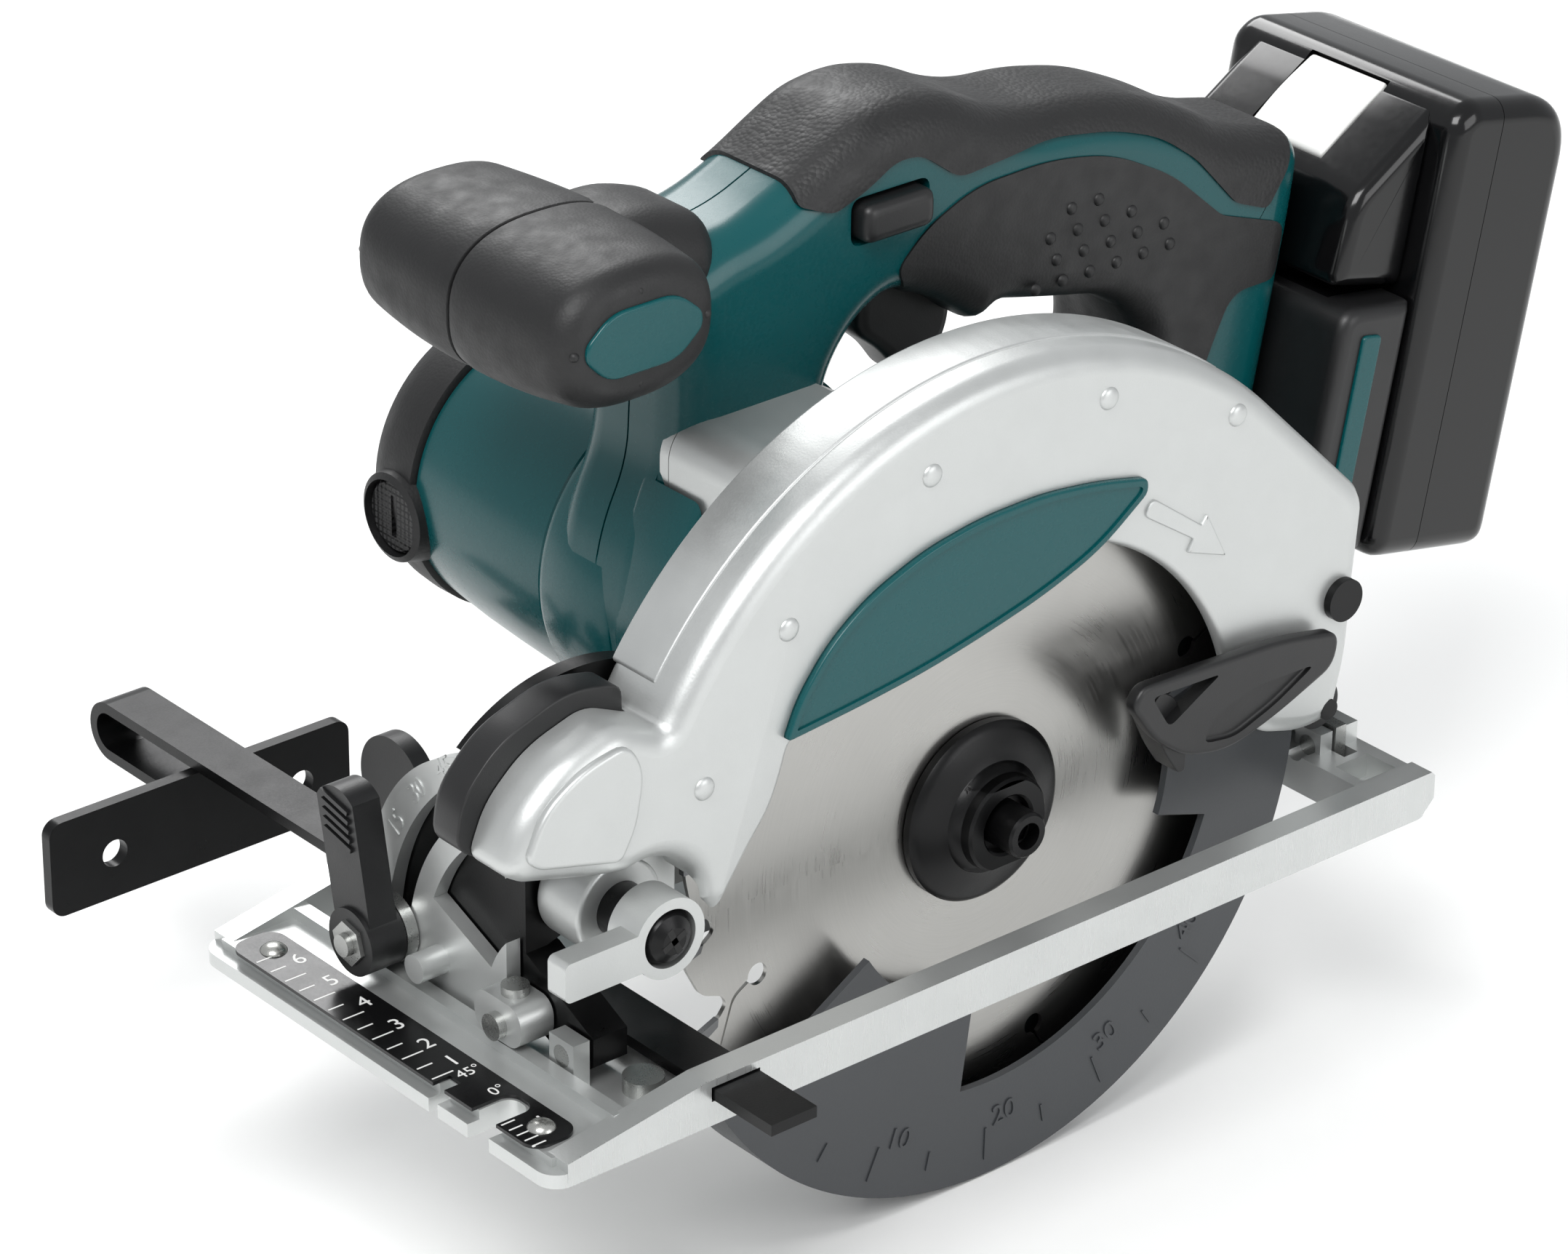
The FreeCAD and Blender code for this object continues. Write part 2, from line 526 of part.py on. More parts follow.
def pack_point(up, forward):
    """Point (x, z) at a height along the pack and a distance forward of its rear face."""
    return (pack_corner[0] + up * math.sin(lean) - forward * math.cos(lean),
            pack_corner[1] + up * math.cos(lean) + forward * math.sin(lean))


handle = [(-54, 50), (-56.3, 70), (-54, 84), (-47, 98), (-47, 125), (-50, 140),
          (-50, 151), (-34, 152), (-20, 153), (-8, 158), ("arc", (8, 166.5)), (25, 169),
          ("arc", (41, 165.5)), (55, 158), (75, 155), ("arc", (103, 146)), (127, 127),
          pack_point(82, 63), pack_point(2, 63), (100, 25), (60, 34), (14, 32), (-20, 29.6),
          ("arc", (-42, 37))]
opening = [(-4, 98), (0, 116), (8, 124), (13, 127), (42, 115), (60, 112), (80, 107),
           (86, 98), (86, 82), (72, 73), (20, 73), (2, 84)]
half_width = size("handle_half")
for label, near, far, side in (("near_handle_shell", SEAM - half_width, SEAM - 0.1, -1),
                               ("far_handle_shell", SEAM + 0.1, SEAM + half_width, 1)):
    hollow = (near + WALL, far + 1) if side < 0 else (near - 1, far - WALL)
    shell_half = Piece(label)
    shell_half.pad("XZ", edges_of(handle), near, far)
    shell_half.cut("XZ", moved(edges_of(handle), -WALL), *hollow)
    shell_half.pad("XZ", edges_of(opening), near, far)
    shell_half.cut("XZ", moved(edges_of(opening), -WALL), near - 1, far + 1)
    shell_half.cut("XZ", rectangle((11, 98), (44.5, 129)), SEAM - 8, SEAM + 8)
    shell_half.cut("XZ", rounded((-1, 141.5), (21, 152.5), 3), near - 1, far + 1)
    if side < 0:
        shell_half.cut("XZ", moved(edges_of(housing_outline), 0.4), near - 1, 49.3)
    else:
        shell_half.cut("XZ", circle(motor, 31), far - WALL - 1, far + 1)

# Grips, trigger and buttons ---------------------------------------------------------------------
pad = Piece("top_pad")
pad.pad("XZ", moved(edges_of(handle), 2.3), SEAM - 14, SEAM + 14)
pad.cut("XZ", moved(edges_of(handle), 0.3), SEAM - 20, SEAM + 20)
pad.cut("XZ", rectangle((-200, -50), (300, 133)), SEAM - 20, SEAM + 20)
pad.cut("XZ", rectangle((-200, 100), (-8, 300)), SEAM - 20, SEAM + 20)
grip_outline = [(19, 135), (36, 146), ("arc", (60, 148)), (80, 143), (112, 122), (104, 116),
                (84, 118), (60, 122), (30, 128)]
side_grip = Part.Face(Part.Wire(Part.__sortEdges__(
    [edge.toShape() for edge in edges_of(grip_outline)])))
side_grip.rotate(Vector(), Vector(1, 0, 0), 90)
grip_plates = []
for level in (SEAM - half_width - 2.1, SEAM + half_width + 0.3):
    plate = side_grip.copy()
    plate.translate(Vector(0, level, 0))
    grip_plates.append(plate.extrude(Vector(0, 1.8, 0)))
joined("side_grips", *grip_plates)
knob = Piece("front_grip")
for draw, near, far in ((0, 31, 89), (2, 26, 94), (6, 23, 97), (10, 22, 98)):
    knob.pad("XZ", rounded((-99.5 + draw, 125 + draw), (-53 - draw, 163.5 - draw), 16 - draw),
             near, far)
knob.pad("XZ", rectangle((-60, 132), (-50.4, 152)), 42, 78)
emblem = Piece("grip_emblem")
emblem.pad("XZ", rounded((-94, 136), (-60, 153), 8), 20.4, 21.9)
lever_trigger = Piece("trigger")
lever_trigger.pad("XZ", edges_of([(12, 113), ("arc", (20, 106.5)), (26, 99),
                                  ("arc", (31, 98.7)), (35, 101), (40, 111), (38, 124),
                                  (16, 126), (12, 122)]), SEAM - 6, SEAM + 6)
lever_trigger.pad("XZ", circle((14, 128), 2.8), SEAM - 6, SEAM + 6)
Piece("switch_body").pad("XZ", rectangle((47, 119), (80, 143)), SEAM - 10, SEAM + 10)
Piece("lock_off_button").pad("XZ", rounded((0, 142.4), (20, 151.6), 3), SEAM - 22, SEAM + 22)
joined("spindle_lock", rod(5.2, Vector(-53.5, *lock_button), Vector(-41, *lock_button)))
clamp_lever = Piece("depth_lever")
clamp_lever.pad("XZ", circle(lock_centre, 8.5), 16.2, 24)
clamp_lever.pad("XZ", edges_of([(lock_centre[0] - 6, 33), (lock_centre[0] + 6, 33),
                                (lock_centre[0] + 4.5, 64), (lock_centre[0] - 4.5, 64)]),
                17.5, 23)
clamp_lever.pad("XZ", circle(lock_centre, 2.55), 12.6, 17)

# Battery pack, modelled upright and leant back about its lower rear edge ------------------------
LEANT = Placement(Vector(pack_corner[0], SEAM, pack_corner[1]),
                  Rotation(Vector(0, 1, 0), size("pack_lean")))
half_pack = size("pack_width") / 2
slope = Vector(30, 28, 0).normalize()
outward = Vector(-slope.y, slope.x, 0)
slope_foot = Vector(-60, 86, 0)


def slope_point(along, out):
    """Point (x, z) of the pack at a distance up its sloping front and a height above it."""
    point = slope_foot + slope * along + outward * out
    return (point.x, point.y)


mount = Piece("battery_mount")
mount.pad("XZ", rectangle((-61.6, 3), (-40.6, 63)), -36, 36)
mount.cut("XZ", rectangle((-58.5, 7.5), (-38, 66)), -25.5, 25.5)
rear_case = Piece("battery_rear_shell")
rear_case.pad("XZ", edges_of([(-6, 0), ("arc", (-1.8, 1.8)), (0, 6), (0, 96),
                              ("arc", (-5.3, 108.7)), (-18, 114), (-30, 114), (-31.9, 112.2),
                              (-31.9, 0)]), -half_pack, half_pack)
rear_case.cut("XZ", edges_of([(-34, 2.4), (-8, 2.4), (-2.4, 8), (-2.4, 95), (-9, 106),
                              (-18, 111.6), (-29, 111.6), (-34, 106)]), -35.1, 35.1)
front_case = Piece("battery_front_shell")
front_case.pad("XZ", edges_of([(-32.1, 0), (-40, 0), (-40, 104.6), (-32.1, 112)]),
               -half_pack, half_pack)
front_case.pad("XZ", edges_of([(-39, 64.4), (-62, 66), (-60, 86), (-39, 105.6)]), -30, 30)
front_case.pad("XZ", rectangle((-58, 8), (-39.5, 62)), -25, 25)
front_case.cut("XZ", edges_of([(-31, 2.4), (-39.2, 2.4), (-39.2, 96), (-31, 104)]), -35.1, 35.1)
front_case.cut("XZ", edges_of([(-38, 68), (-58, 69), (-55, 78), (-38, 94)]), -27, 27)
front_case.cut("XZ", edges_of([slope_point(6.4, 2), slope_point(31.6, 2),
                               slope_point(31.6, -4.5), slope_point(6.4, -4.5)]), -12.6, 12.6)
key = Piece("battery_key")
key.pad("XZ", edges_of([slope_point(7, -2.2), slope_point(7, 0.4),
                        ("arc", slope_point(19, 1.6)), slope_point(31, 0.4),
                        slope_point(31, -2.2)]), -12, 12)
cells = []
for row in (-11.8, -30):
    for level in range(5):
        height = 12.2 + 18.4 * level
        cells.append(rod(9, Vector(row, -32.5, height), Vector(row, 32.5, height)))
pack_cells = joined("battery_cells", *cells)
for item in (mount.body, rear_case.body, front_case.body, key.body, pack_cells):
    item.Placement = LEANT

# Check and export -------------------------------------------------------------------------------
doc.recompute()
for item in doc.Objects:
    if "Invalid" in item.State or "Error" in item.State:
        raise RuntimeError("%s (%s) is in state %s" % (item.Name, item.Label, item.State))
for node in NODES:
    if node.Shape.isNull() or not node.Shape.isValid() or not node.Shape.Solids:
        raise RuntimeError("%s has no valid solid" % node.Label)
    node.Shape.exportStep("parts/%s.step" % node.Label)
print("%d parts written" % len(NODES))
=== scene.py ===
import math

import bpy
import numpy as np
from mathutils import Matrix, Vector


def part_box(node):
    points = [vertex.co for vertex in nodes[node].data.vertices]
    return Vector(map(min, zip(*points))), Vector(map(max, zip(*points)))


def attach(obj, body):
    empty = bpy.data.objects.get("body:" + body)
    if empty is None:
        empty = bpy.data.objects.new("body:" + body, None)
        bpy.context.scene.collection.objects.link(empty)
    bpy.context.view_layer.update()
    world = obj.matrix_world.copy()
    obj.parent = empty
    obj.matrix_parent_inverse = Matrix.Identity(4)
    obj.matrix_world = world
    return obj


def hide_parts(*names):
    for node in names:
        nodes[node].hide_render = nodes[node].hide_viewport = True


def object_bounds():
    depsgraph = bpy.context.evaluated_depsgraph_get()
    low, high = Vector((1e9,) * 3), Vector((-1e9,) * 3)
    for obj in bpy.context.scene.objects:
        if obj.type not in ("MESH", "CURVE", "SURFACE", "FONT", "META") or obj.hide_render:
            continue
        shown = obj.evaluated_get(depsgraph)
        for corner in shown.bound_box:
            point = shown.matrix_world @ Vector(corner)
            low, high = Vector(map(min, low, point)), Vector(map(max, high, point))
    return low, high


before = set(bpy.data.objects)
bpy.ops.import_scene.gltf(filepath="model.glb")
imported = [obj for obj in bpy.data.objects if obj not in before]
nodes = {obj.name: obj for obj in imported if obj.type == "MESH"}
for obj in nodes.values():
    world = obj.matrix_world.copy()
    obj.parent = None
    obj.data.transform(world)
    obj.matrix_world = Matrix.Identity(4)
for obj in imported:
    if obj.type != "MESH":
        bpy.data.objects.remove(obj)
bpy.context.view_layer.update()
MM = 0.001

# Die castings ---------------------------------------------------------------------------------
# Base, bevel quadrant, blade guard and gear housing are pressure-cast aluminium, shot-blasted and
# sprayed with a thin silver lacquer. The long rail's outer face is milled bright after painting.


def srgb(code):
    """Linear colour of a six-digit sRGB hex code."""
    values = [int(code[at:at + 2], 16) / 255 for at in (1, 3, 5)]
    return [v / 12.92 if v <= 0.04045 else ((v + 0.055) / 1.055) ** 2.4 for v in values] + [1]


def add(tree, kind, inputs=None, **settings):
    """Adds a shader node, sets its properties, and sets or links its inputs."""
    node = tree.nodes.new("ShaderNode" + kind)
    for key, value in settings.items():
        setattr(node, key, value)
    for key, value in (inputs or {}).items():
        if isinstance(value, bpy.types.NodeSocket):
            tree.links.new(value, node.inputs[key])
        else:
            node.inputs[key].default_value = value
    return node


def new_material(name, **sockets):
    """Principled material with constants set straight on its sockets."""
    material = bpy.data.materials.new(name)
    material.use_nodes = True
    shader = material.node_tree.nodes["Principled BSDF"]
    for key, value in sockets.items():
        shader.inputs[key.replace("_", " ")].default_value = value
    return material, material.node_tree, shader


def grain(tree, size_mm, detail=3, stretch=(1, 1, 1)):
    """Noise whose features are about size_mm across, in the piece's own coordinates."""
    place = add(tree, "TexCoord").outputs["Object"]
    scaled = add(tree, "VectorMath", {0: place, 1: [1000 / size_mm * s for s in stretch]},
                 operation="MULTIPLY")
    return add(tree, "TexNoise", {"Vector": scaled.outputs[0], "Scale": 1.0, "Detail": detail})


def surface(name, code, rough, metal=0.0, fine=0.4, depth=0.02, patch=9.0, spread=0.06,
            tint=0.05, **sockets):
    """A finished surface: fine grain in the bump and roughness, and slow patches of tone."""
    material, tree, shader = new_material(name, Metallic=metal, **sockets)
    small = grain(tree, fine)
    large = grain(tree, patch)
    base = srgb(code)
    shades = [[min(1, c * (1 + side * tint)) for c in base[:3]] + [1] for side in (-1, 1)]
    tone = add(tree, "Mix", {0: large.outputs[0], 6: shades[0], 7: shades[1]}, data_type="RGBA")
    both = add(tree, "Math", {0: small.outputs[0], 1: large.outputs[0]}, operation="ADD")
    polish = add(tree, "MapRange", {0: both.outputs[0], 1: 0.6, 2: 1.4,
                                    3: rough - spread, 4: rough + spread})
    relief = add(tree, "Bump", {"Height": small.outputs[0], "Distance": depth * MM,
                                "Strength": 0.6})
    tree.links.new(tone.outputs[2], shader.inputs["Base Color"])
    tree.links.new(polish.outputs[0], shader.inputs["Roughness"])
    tree.links.new(relief.outputs[0], shader.inputs["Normal"])
    return material


cast_silver = surface("die_cast_silver_lacquer", "#C2C4C3", 0.4, 0.7, fine=0.5, depth=0.035)


def milled(name, code, axis, limit):
    """Silver lacquer, with bright upright cutter marks where the surface lies beyond a limit."""
    material = surface(name, code, 0.34, 0.75, fine=0.5, depth=0.035)
    tree = material.node_tree
    shader = tree.nodes["Principled BSDF"]
    place = add(tree, "SeparateXYZ", {0: add(tree, "TexCoord").outputs["Object"]})
    beyond = add(tree, "Math", {0: place.outputs[axis], 1: limit}, operation="LESS_THAN")
    marks = grain(tree, 0.45, 2, (1, 1, 0.02))
    bright = add(tree, "MapRange", {0: marks.outputs[0], 1: 0.3, 2: 0.7, 3: 0.22, 4: 0.42})
    before = shader.inputs["Roughness"].links[0].from_socket
    mix = add(tree, "Mix", {0: beyond.outputs[0], 2: before, 3: bright.outputs[0]})
    tree.links.new(mix.outputs[0], shader.inputs["Roughness"])
    return material


def dress(name, material, bevel=0.0):
    """Gives a CAD node its material, and its edges a small moulded or machined radius."""
    piece = nodes[name]
    piece.data.materials.clear()
    piece.data.materials.append(material)
    if bevel:
        merge = piece.modifiers.new("flats", "DECIMATE")
        merge.decimate_type = "DISSOLVE"
        merge.angle_limit = math.radians(1.5)
        edge = piece.modifiers.new("edge_radius", "BEVEL")
        edge.width = bevel * MM
        edge.segments = 2
        edge.limit_method = "ANGLE"
        edge.angle_limit = math.radians(40)
        edge.harden_normals = True
        edge.miter_outer = "MITER_ARC"
    return piece


rail_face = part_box("base_plate")[0][1] + 0.3 * MM
dress("base_plate", milled("base_silver_with_milled_rail", "#C6C8C7", 1, rail_face), 0.7)
dress("bevel_quadrant", cast_silver, 0.6)
dress("gear_housing", cast_silver, 1.2)
dress("bearing_plate", cast_silver, 0.4)
dress("pivot_collar", cast_silver, 0.8)

# Blade guard ------------------------------------------------------------------------------------
# One casting: two cheeks joined by a rounded rim, open below for the blade, with a wing in front
# that carries the depth pivot. Its near cheek is cut away in a circle round the blade.


def outline(corners, default=2.0, pitch=1.6):
    """Closed outline in millimetres. Each corner (u, v, radius) is cut back by its radius, at most
    45% of the shorter side, and replaced by the quadratic curve through the two cuts."""
    corners = [tuple(c) + (default,) * (3 - len(c)) for c in corners]
    points = []
    for index, (u, v, radius) in enumerate(corners):
        here = np.array((u, v), float)
        before = np.array(corners[index - 1][:2], float) - here
        after = np.array(corners[(index + 1) % len(corners)][:2], float) - here
        reach = min(radius, 0.45 * np.linalg.norm(before), 0.45 * np.linalg.norm(after))
        first = here + before / np.linalg.norm(before) * reach
        last = here + after / np.linalg.norm(after) * reach
        t = np.linspace(0, 1, max(3, int(reach / pitch) + 4))[:, None]
        points.append((1 - t) ** 2 * first + 2 * t * (1 - t) * here + t ** 2 * last)
    path = np.vstack(points)
    ends = np.roll(path, -1, axis=0)
    dense = []
    for start, end in zip(path, ends):
        count = max(1, int(np.linalg.norm(end - start) / (4 * pitch)))
        share = np.arange(count)[:, None] / count
        dense.append(start + (end - start) * share)
    path = np.vstack(dense)
    keep = np.linalg.norm(path - np.roll(path, 1, axis=0), axis=1) > 0.02
    path = path[keep]
    turned = np.roll(path, -1, axis=0)
    area = np.sum(path[:, 0] * turned[:, 1] - turned[:, 0] * path[:, 1])
    return path if area > 0 else path[::-1]


def drawn_in(path, distance):
    """The outline moved inwards in small steps: each point slides along the mean normal of its two
    sides, and points that crowd together are eased apart so that the line never crosses itself."""
    count = max(1, math.ceil(abs(distance) / 0.4))
    for _ in range(count):
        side = np.roll(path, -1, axis=0) - np.roll(path, 1, axis=0)
        side /= np.linalg.norm(side, axis=1)[:, None] + 1e-9
        path = path + np.stack((-side[:, 1], side[:, 0]), axis=1) * distance / count
        for _ in range(4 if count > 1 else 0):
            ahead, behind = np.roll(path, -1, axis=0), np.roll(path, 1, axis=0)
            gap = np.minimum(np.linalg.norm(ahead - path, axis=1),
                             np.linalg.norm(behind - path, axis=1))
            crowded = np.clip(1 - gap / 0.6, 0, 1)[:, None] * 0.8
            path = path * (1 - crowded) + (ahead + behind) / 2 * crowded
    return path


def mesh_object(name, points, faces, material, smooth=38):
    """Object at the origin from points in millimetres, shaded smooth up to an angle."""
    mesh = bpy.data.meshes.new(name)
    mesh.from_pydata((np.asarray(points, float) * MM).tolist(), [], faces)
    mesh.validate()
    mesh.shade_smooth()
    mesh.set_sharp_from_angle(angle=math.radians(smooth))
    if material:
        mesh.materials.append(material)
    piece = bpy.data.objects.new(name, mesh)
    bpy.context.scene.collection.objects.link(piece)
    return piece


def placed(points, place):
    """Points moved by a placement, if there is one."""
    if place is None:
        return points
    return points @ np.array(place.to_3x3()).T + np.array(place.translation)


def tube_faces(count, rings):
    """Faces of a closed tube of rings with count points each, flat caps included."""
    here = np.arange(count)
    step = (here + 1) % count
    faces = [tuple(here.tolist())]
    for ring in range(rings - 1):
        a, b = ring * count, (ring + 1) * count
        faces += [tuple(quad) for quad in
                  np.stack((here + a, here + b, step + b, step + a), axis=1).tolist()]
    return faces + [tuple((here + (rings - 1) * count)[::-1].tolist())]


def prism(name, path, near, far, material, near_round=1.0, far_round=1.0, place=None, steps=5,
          flare=False):
    """Solid bar of one outline between two levels along Y. Towards each end the outline draws in
    (or flares out) along a quarter circle, then closes flat with one extra ring inside the rim."""
    turn = np.linspace(0, math.pi / 2, steps)
    sign = -1 if flare else 1
    rings = [(near + near_round * (1 - math.sin(t)), near_round * (1 - math.cos(t)))
             for t in turn[::-1]]
    rings += [(far - far_round * (1 - math.sin(t)), far_round * (1 - math.cos(t))) for t in turn]
    rings = [(near, rings[0][1] + 0.25)] + rings + [(far, rings[-1][1] + 0.25)]
    layers = []
    for level, draw in rings:
        flat = drawn_in(path, sign * draw)
        layers.append(np.stack((flat[:, 0], np.full(len(flat), level), flat[:, 1]), axis=1))
    return mesh_object(name, placed(np.vstack(layers), place), tube_faces(len(path), len(rings)),
                       material)


def cutter(path, near, far, near_round=0.1, far_round=0.1, **more):
    """Prism without a material, made to be cut away or to mark what stays."""
    return prism("cutter", path, near, far, None, near_round, far_round, **more)


def finished(piece):
    """Mesh of a piece with its modifiers applied."""
    bpy.context.view_layer.update()
    return bpy.data.meshes.new_from_object(
        piece.evaluated_get(bpy.context.evaluated_depsgraph_get()))


def combine(piece, tools, kind="DIFFERENCE", smooth=38):
    """Cuts the tools from the piece (or keeps what they share), and deletes the tools."""
    for tool in tools:
        step = piece.modifiers.new("step", "BOOLEAN")
        step.operation = kind
        step.solver = "MANIFOLD"
        step.object = tool
        shape = finished(piece)
        piece.modifiers.clear()
        piece.data = shape
        bpy.data.objects.remove(tool)
    piece.data.name = piece.name
    piece.data.set_sharp_from_angle(angle=math.radians(smooth))
    return piece


def circle_path(centre, radius, count=96):
    """Circle in the x-z plane, as (x, z) points."""
    turn = np.linspace(0, 2 * math.pi, count, endpoint=False)
    return np.stack((centre[0] + radius * np.cos(turn), centre[1] + radius * np.sin(turn)), axis=1)


def arc_points(centre, radius, start, end, count=14):
    """Points (x, z) along an arc, in degrees from +X towards +Z."""
    turn = np.radians(np.linspace(start, end, count))
    return [(centre[0] + radius * math.cos(t), centre[1] + radius * math.sin(t)) for t in turn]


def fit(piece, body, slot, *replaced):
    """Puts a finished piece on its body, in place of the named nodes. The slot argument is not used.
    """
    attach(piece, body)
    for node in replaced:
        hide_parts(node)


ARBOR = (0.0, 25.5)
PIVOT = (-99.0, 37.0)
dome = (-1.0, 25.5)
guard_corners = ([(-78, 28.5, 2), (-67, 28.5, 1), (66, 28.5, 1),
                  (76, 21, 3), (88, 17.5, 6), (98, 18.5, 6), (101.8, 34, 6), (102.5, 50, 4),
                  (104.5, 72.5, 5)] + arc_points(dome, 107.5, 48, 150, 26)
                 + [(-98, 81, 6), (-106, 84.5, 6), (-121, 80, 10), (-131, 71, 8), (-135, 61, 3),
                    (-131, 57, 3), (-111, 51.5, 3)] + arc_points(PIVOT, 14, 110, 0, 10))
guard = prism("blade_guard", outline(guard_corners, 3), -12, 12, cast_silver, 5, 3.5)
hollow = outline([(-84, 5), (110, 5), (110, 20), (98.5, 32), (99.5, 40, 4), (101.3, 71, 4)]
                 + arc_points(dome, 105, 48, 150, 24) + [(-87, 48, 4)], 2)
cutout = outline([(-84, 5, 1), (-84, 31, 4), (-78.5, 38, 5), (-73, 46, 6), (-67, 53.5, 6),
                  (-64, 61, 5), (-62, 67.6, 3), (-44, 69.2, 8), (-27, 71.4, 8), (-11.7, 74.4, 8),
                  (6, 78.6, 8), (16, 82.2, 5)]
                 + arc_points(ARBOR, 64.5, 69, 4, 24) + [(64.5, 20, 2), (64.5, 5, 2)], 2)
combine(guard, [cutter(hollow, -9.8, 9.8, 3, 3),
                cutter(cutout, -12.01, -6, 1.6, 0.1, flare=True),
                cutter(circle_path(ARBOR, 23), 6, 14),
                cutter(circle_path((95.2, 22), 2.5, 24), -14, 14),
                cutter(outline([(-150, 51.6), (-95, 51.6), (-95, 100), (-150, 100)], 0.5), 1, 14)])
fit(guard, "head", "cast_silver", "upper_guard")
ear = prism("guard_pivot_ear", circle_path(PIVOT, 11, 64), -2, 11.8, cast_silver, 1, 1)
web = cutter(outline([(-92, 29), (-84, 30), (-84, 50), (-99, 47.5), (-96, 30)], 1), -1.6, 11.4,
             0.5, 0.5)
combine(ear, [web], "UNION")
combine(ear, [cutter(circle_path(PIVOT, 6.05, 48), -14, 14)])
fit(ear, "head", "cast_silver")

# A low step runs round the rim and the wing, and small ejector bosses sit on the near cheek.
lip_path = outline(arc_points(dome, 107.9, 52, 146, 40) + arc_points(dome, 104.2, 146, 52, 40), 1)
lip = prism("guard_rim_step", lip_path, -2.5, 11.6, cast_silver, 0.6, 0.8)
fit(lip, "head", "cast_silver")
wing_step = prism("guard_wing_step", outline(
    [(-107, 55, 2), (-128, 60.5, 3), (-131, 63.5, 3), (-126.5, 73, 8), (-117, 79, 8),
     (-105, 81.5, 5), (-101, 74, 6), (-103, 62, 6)], 2), -13.1, -11, cast_silver, 0.9, 0.5)
fit(wing_step, "head", "cast_silver")


def domes(name, centres, radius, height, level, side, material, slot):
    """Low round buttons: each is a cap of rings whose height falls off as a cosine."""
    ring, count = np.linspace(0, math.pi / 2, 6)[1:], 20
    turn = np.linspace(0, 2 * math.pi, count, endpoint=False)
    points, faces = [], []
    for x, z in centres:
        start = len(points)
        points.append((x, level + side * height, z))
        for t in ring:
            reach, rise = radius * math.sin(t), height * math.cos(t)
            points += [(x + reach * math.cos(a), level + side * rise, z + reach * math.sin(a))
                       for a in turn]
        for at in range(count):
            after = (at + 1) % count
            faces.append((start, start + 1 + at, start + 1 + after)[::-side])
            for row in range(len(ring) - 1):
                a, b = start + 1 + row * count, start + 1 + (row + 1) * count
                faces.append((a + at, b + at, b + after, a + after)[::-side])
    fit(mesh_object(name, points, faces, material), "head", slot)


domes("guard_ejector_bosses", [(24, 119), (62, 104), (-25, 116), (-63, 93), (-85, 64)], 2.6, 1.0,
      -12.0, -1, cast_silver, "cast_silver")
arrow = prism("guard_direction_arrow", outline(
    [(37.5, 92, 2.5), (35, 88.5, 2.5), (50, 78.5, 0.4), (48.3, 75.8, 0.4), (60, 71.5, 0.6),
     (53.8, 83.2, 0.4), (52.2, 81.2, 0.4)], 1, 0.6), -12.7, -11.5, cast_silver, 0.35, 0.2)
fit(arrow, "head", "cast_silver")

# Black arm behind the wing ----------------------------------------------------------------------
# A glass-filled nylon arm closes the wing's far side and shows a dark margin round its edge.
nylon = surface("black_nylon_spark_eroded", "#141415", 0.42, fine=0.35, depth=0.03, spread=0.05)
arm = prism("guard_wing_backing", outline([(-95.5, 52, 2), (-112, 54, 2), (-133, 59, 3),
                                           (-138, 63, 3), (-136.5, 73, 6), (-127, 83, 10),
                                           (-109, 89, 8), (-95.5, 86, 3)], 3),
            1.2, 10.5, nylon, 0.4, 2)
fit(arm, "head", "black_plastic")

# Colour badge on the guard -----------------------------------------------------------------------
# A leaf of moulded ABS in the body colour, set in a shallow recess, with a raised plain border.
teal = surface("teal_abs_satin", "#00474A", 0.27, fine=1.4, depth=0.012, patch=30, spread=0.03,
               tint=0.03, Coat_Weight=0.15, Coat_Roughness=0.12,
               Specular_IOR_Level=0.3)
leaf = ([(-64.5, 68.2, 1.6)] + [(x, z, 6) for x, z in (
    (-61, 76.5), (-53, 86.5), (-42, 94.2), (-27, 99.8), (-11.6, 102.4), (6, 102.8), (22, 100.8))]
    + [(35, 97.8, 2.5), (35, 94.4, 1.5), (22, 85.2, 8), (6, 79.4, 8), (-11.7, 75.2, 8),
       (-27, 72.2, 8), (-44.5, 70, 8)])
badge = prism("guard_colour_badge", outline(leaf, 6), -13.2, -11, teal, 0.7, 0.2)
border = prism("guard_badge_border", outline(leaf, 6), -13.7, -11, teal, 0.5, 0.2)
combine(border, [cutter(drawn_in(outline(leaf, 6), 1.6), -20, -12.6, 0.1, 0.3)])
fit(badge, "head", "teal_shell", "guard_badge")
fit(border, "head", "teal_shell")

# Body shells ------------------------------------------------------------------------------------
# Two glass-filled ABS half shells screwed together on the centre seam, moulded in teal. They form
# the handle loop, the motor's near end and the foot that carries the pack.
SEAM = 60
LEAN = math.radians(11.4)
PACK_HEEL = (180.8, 22.5)
PACK = Matrix.Translation((PACK_HEEL[0], SEAM, PACK_HEEL[1])) @ Matrix.Rotation(LEAN, 4, "Y")


def on_pack(up, forward):
    """Point (x, z) at a height up the leant pack and a distance in front of its rear face."""
    return (PACK_HEEL[0] + up * math.sin(LEAN) - forward * math.cos(LEAN),
            PACK_HEEL[1] + up * math.cos(LEAN) + forward * math.sin(LEAN))


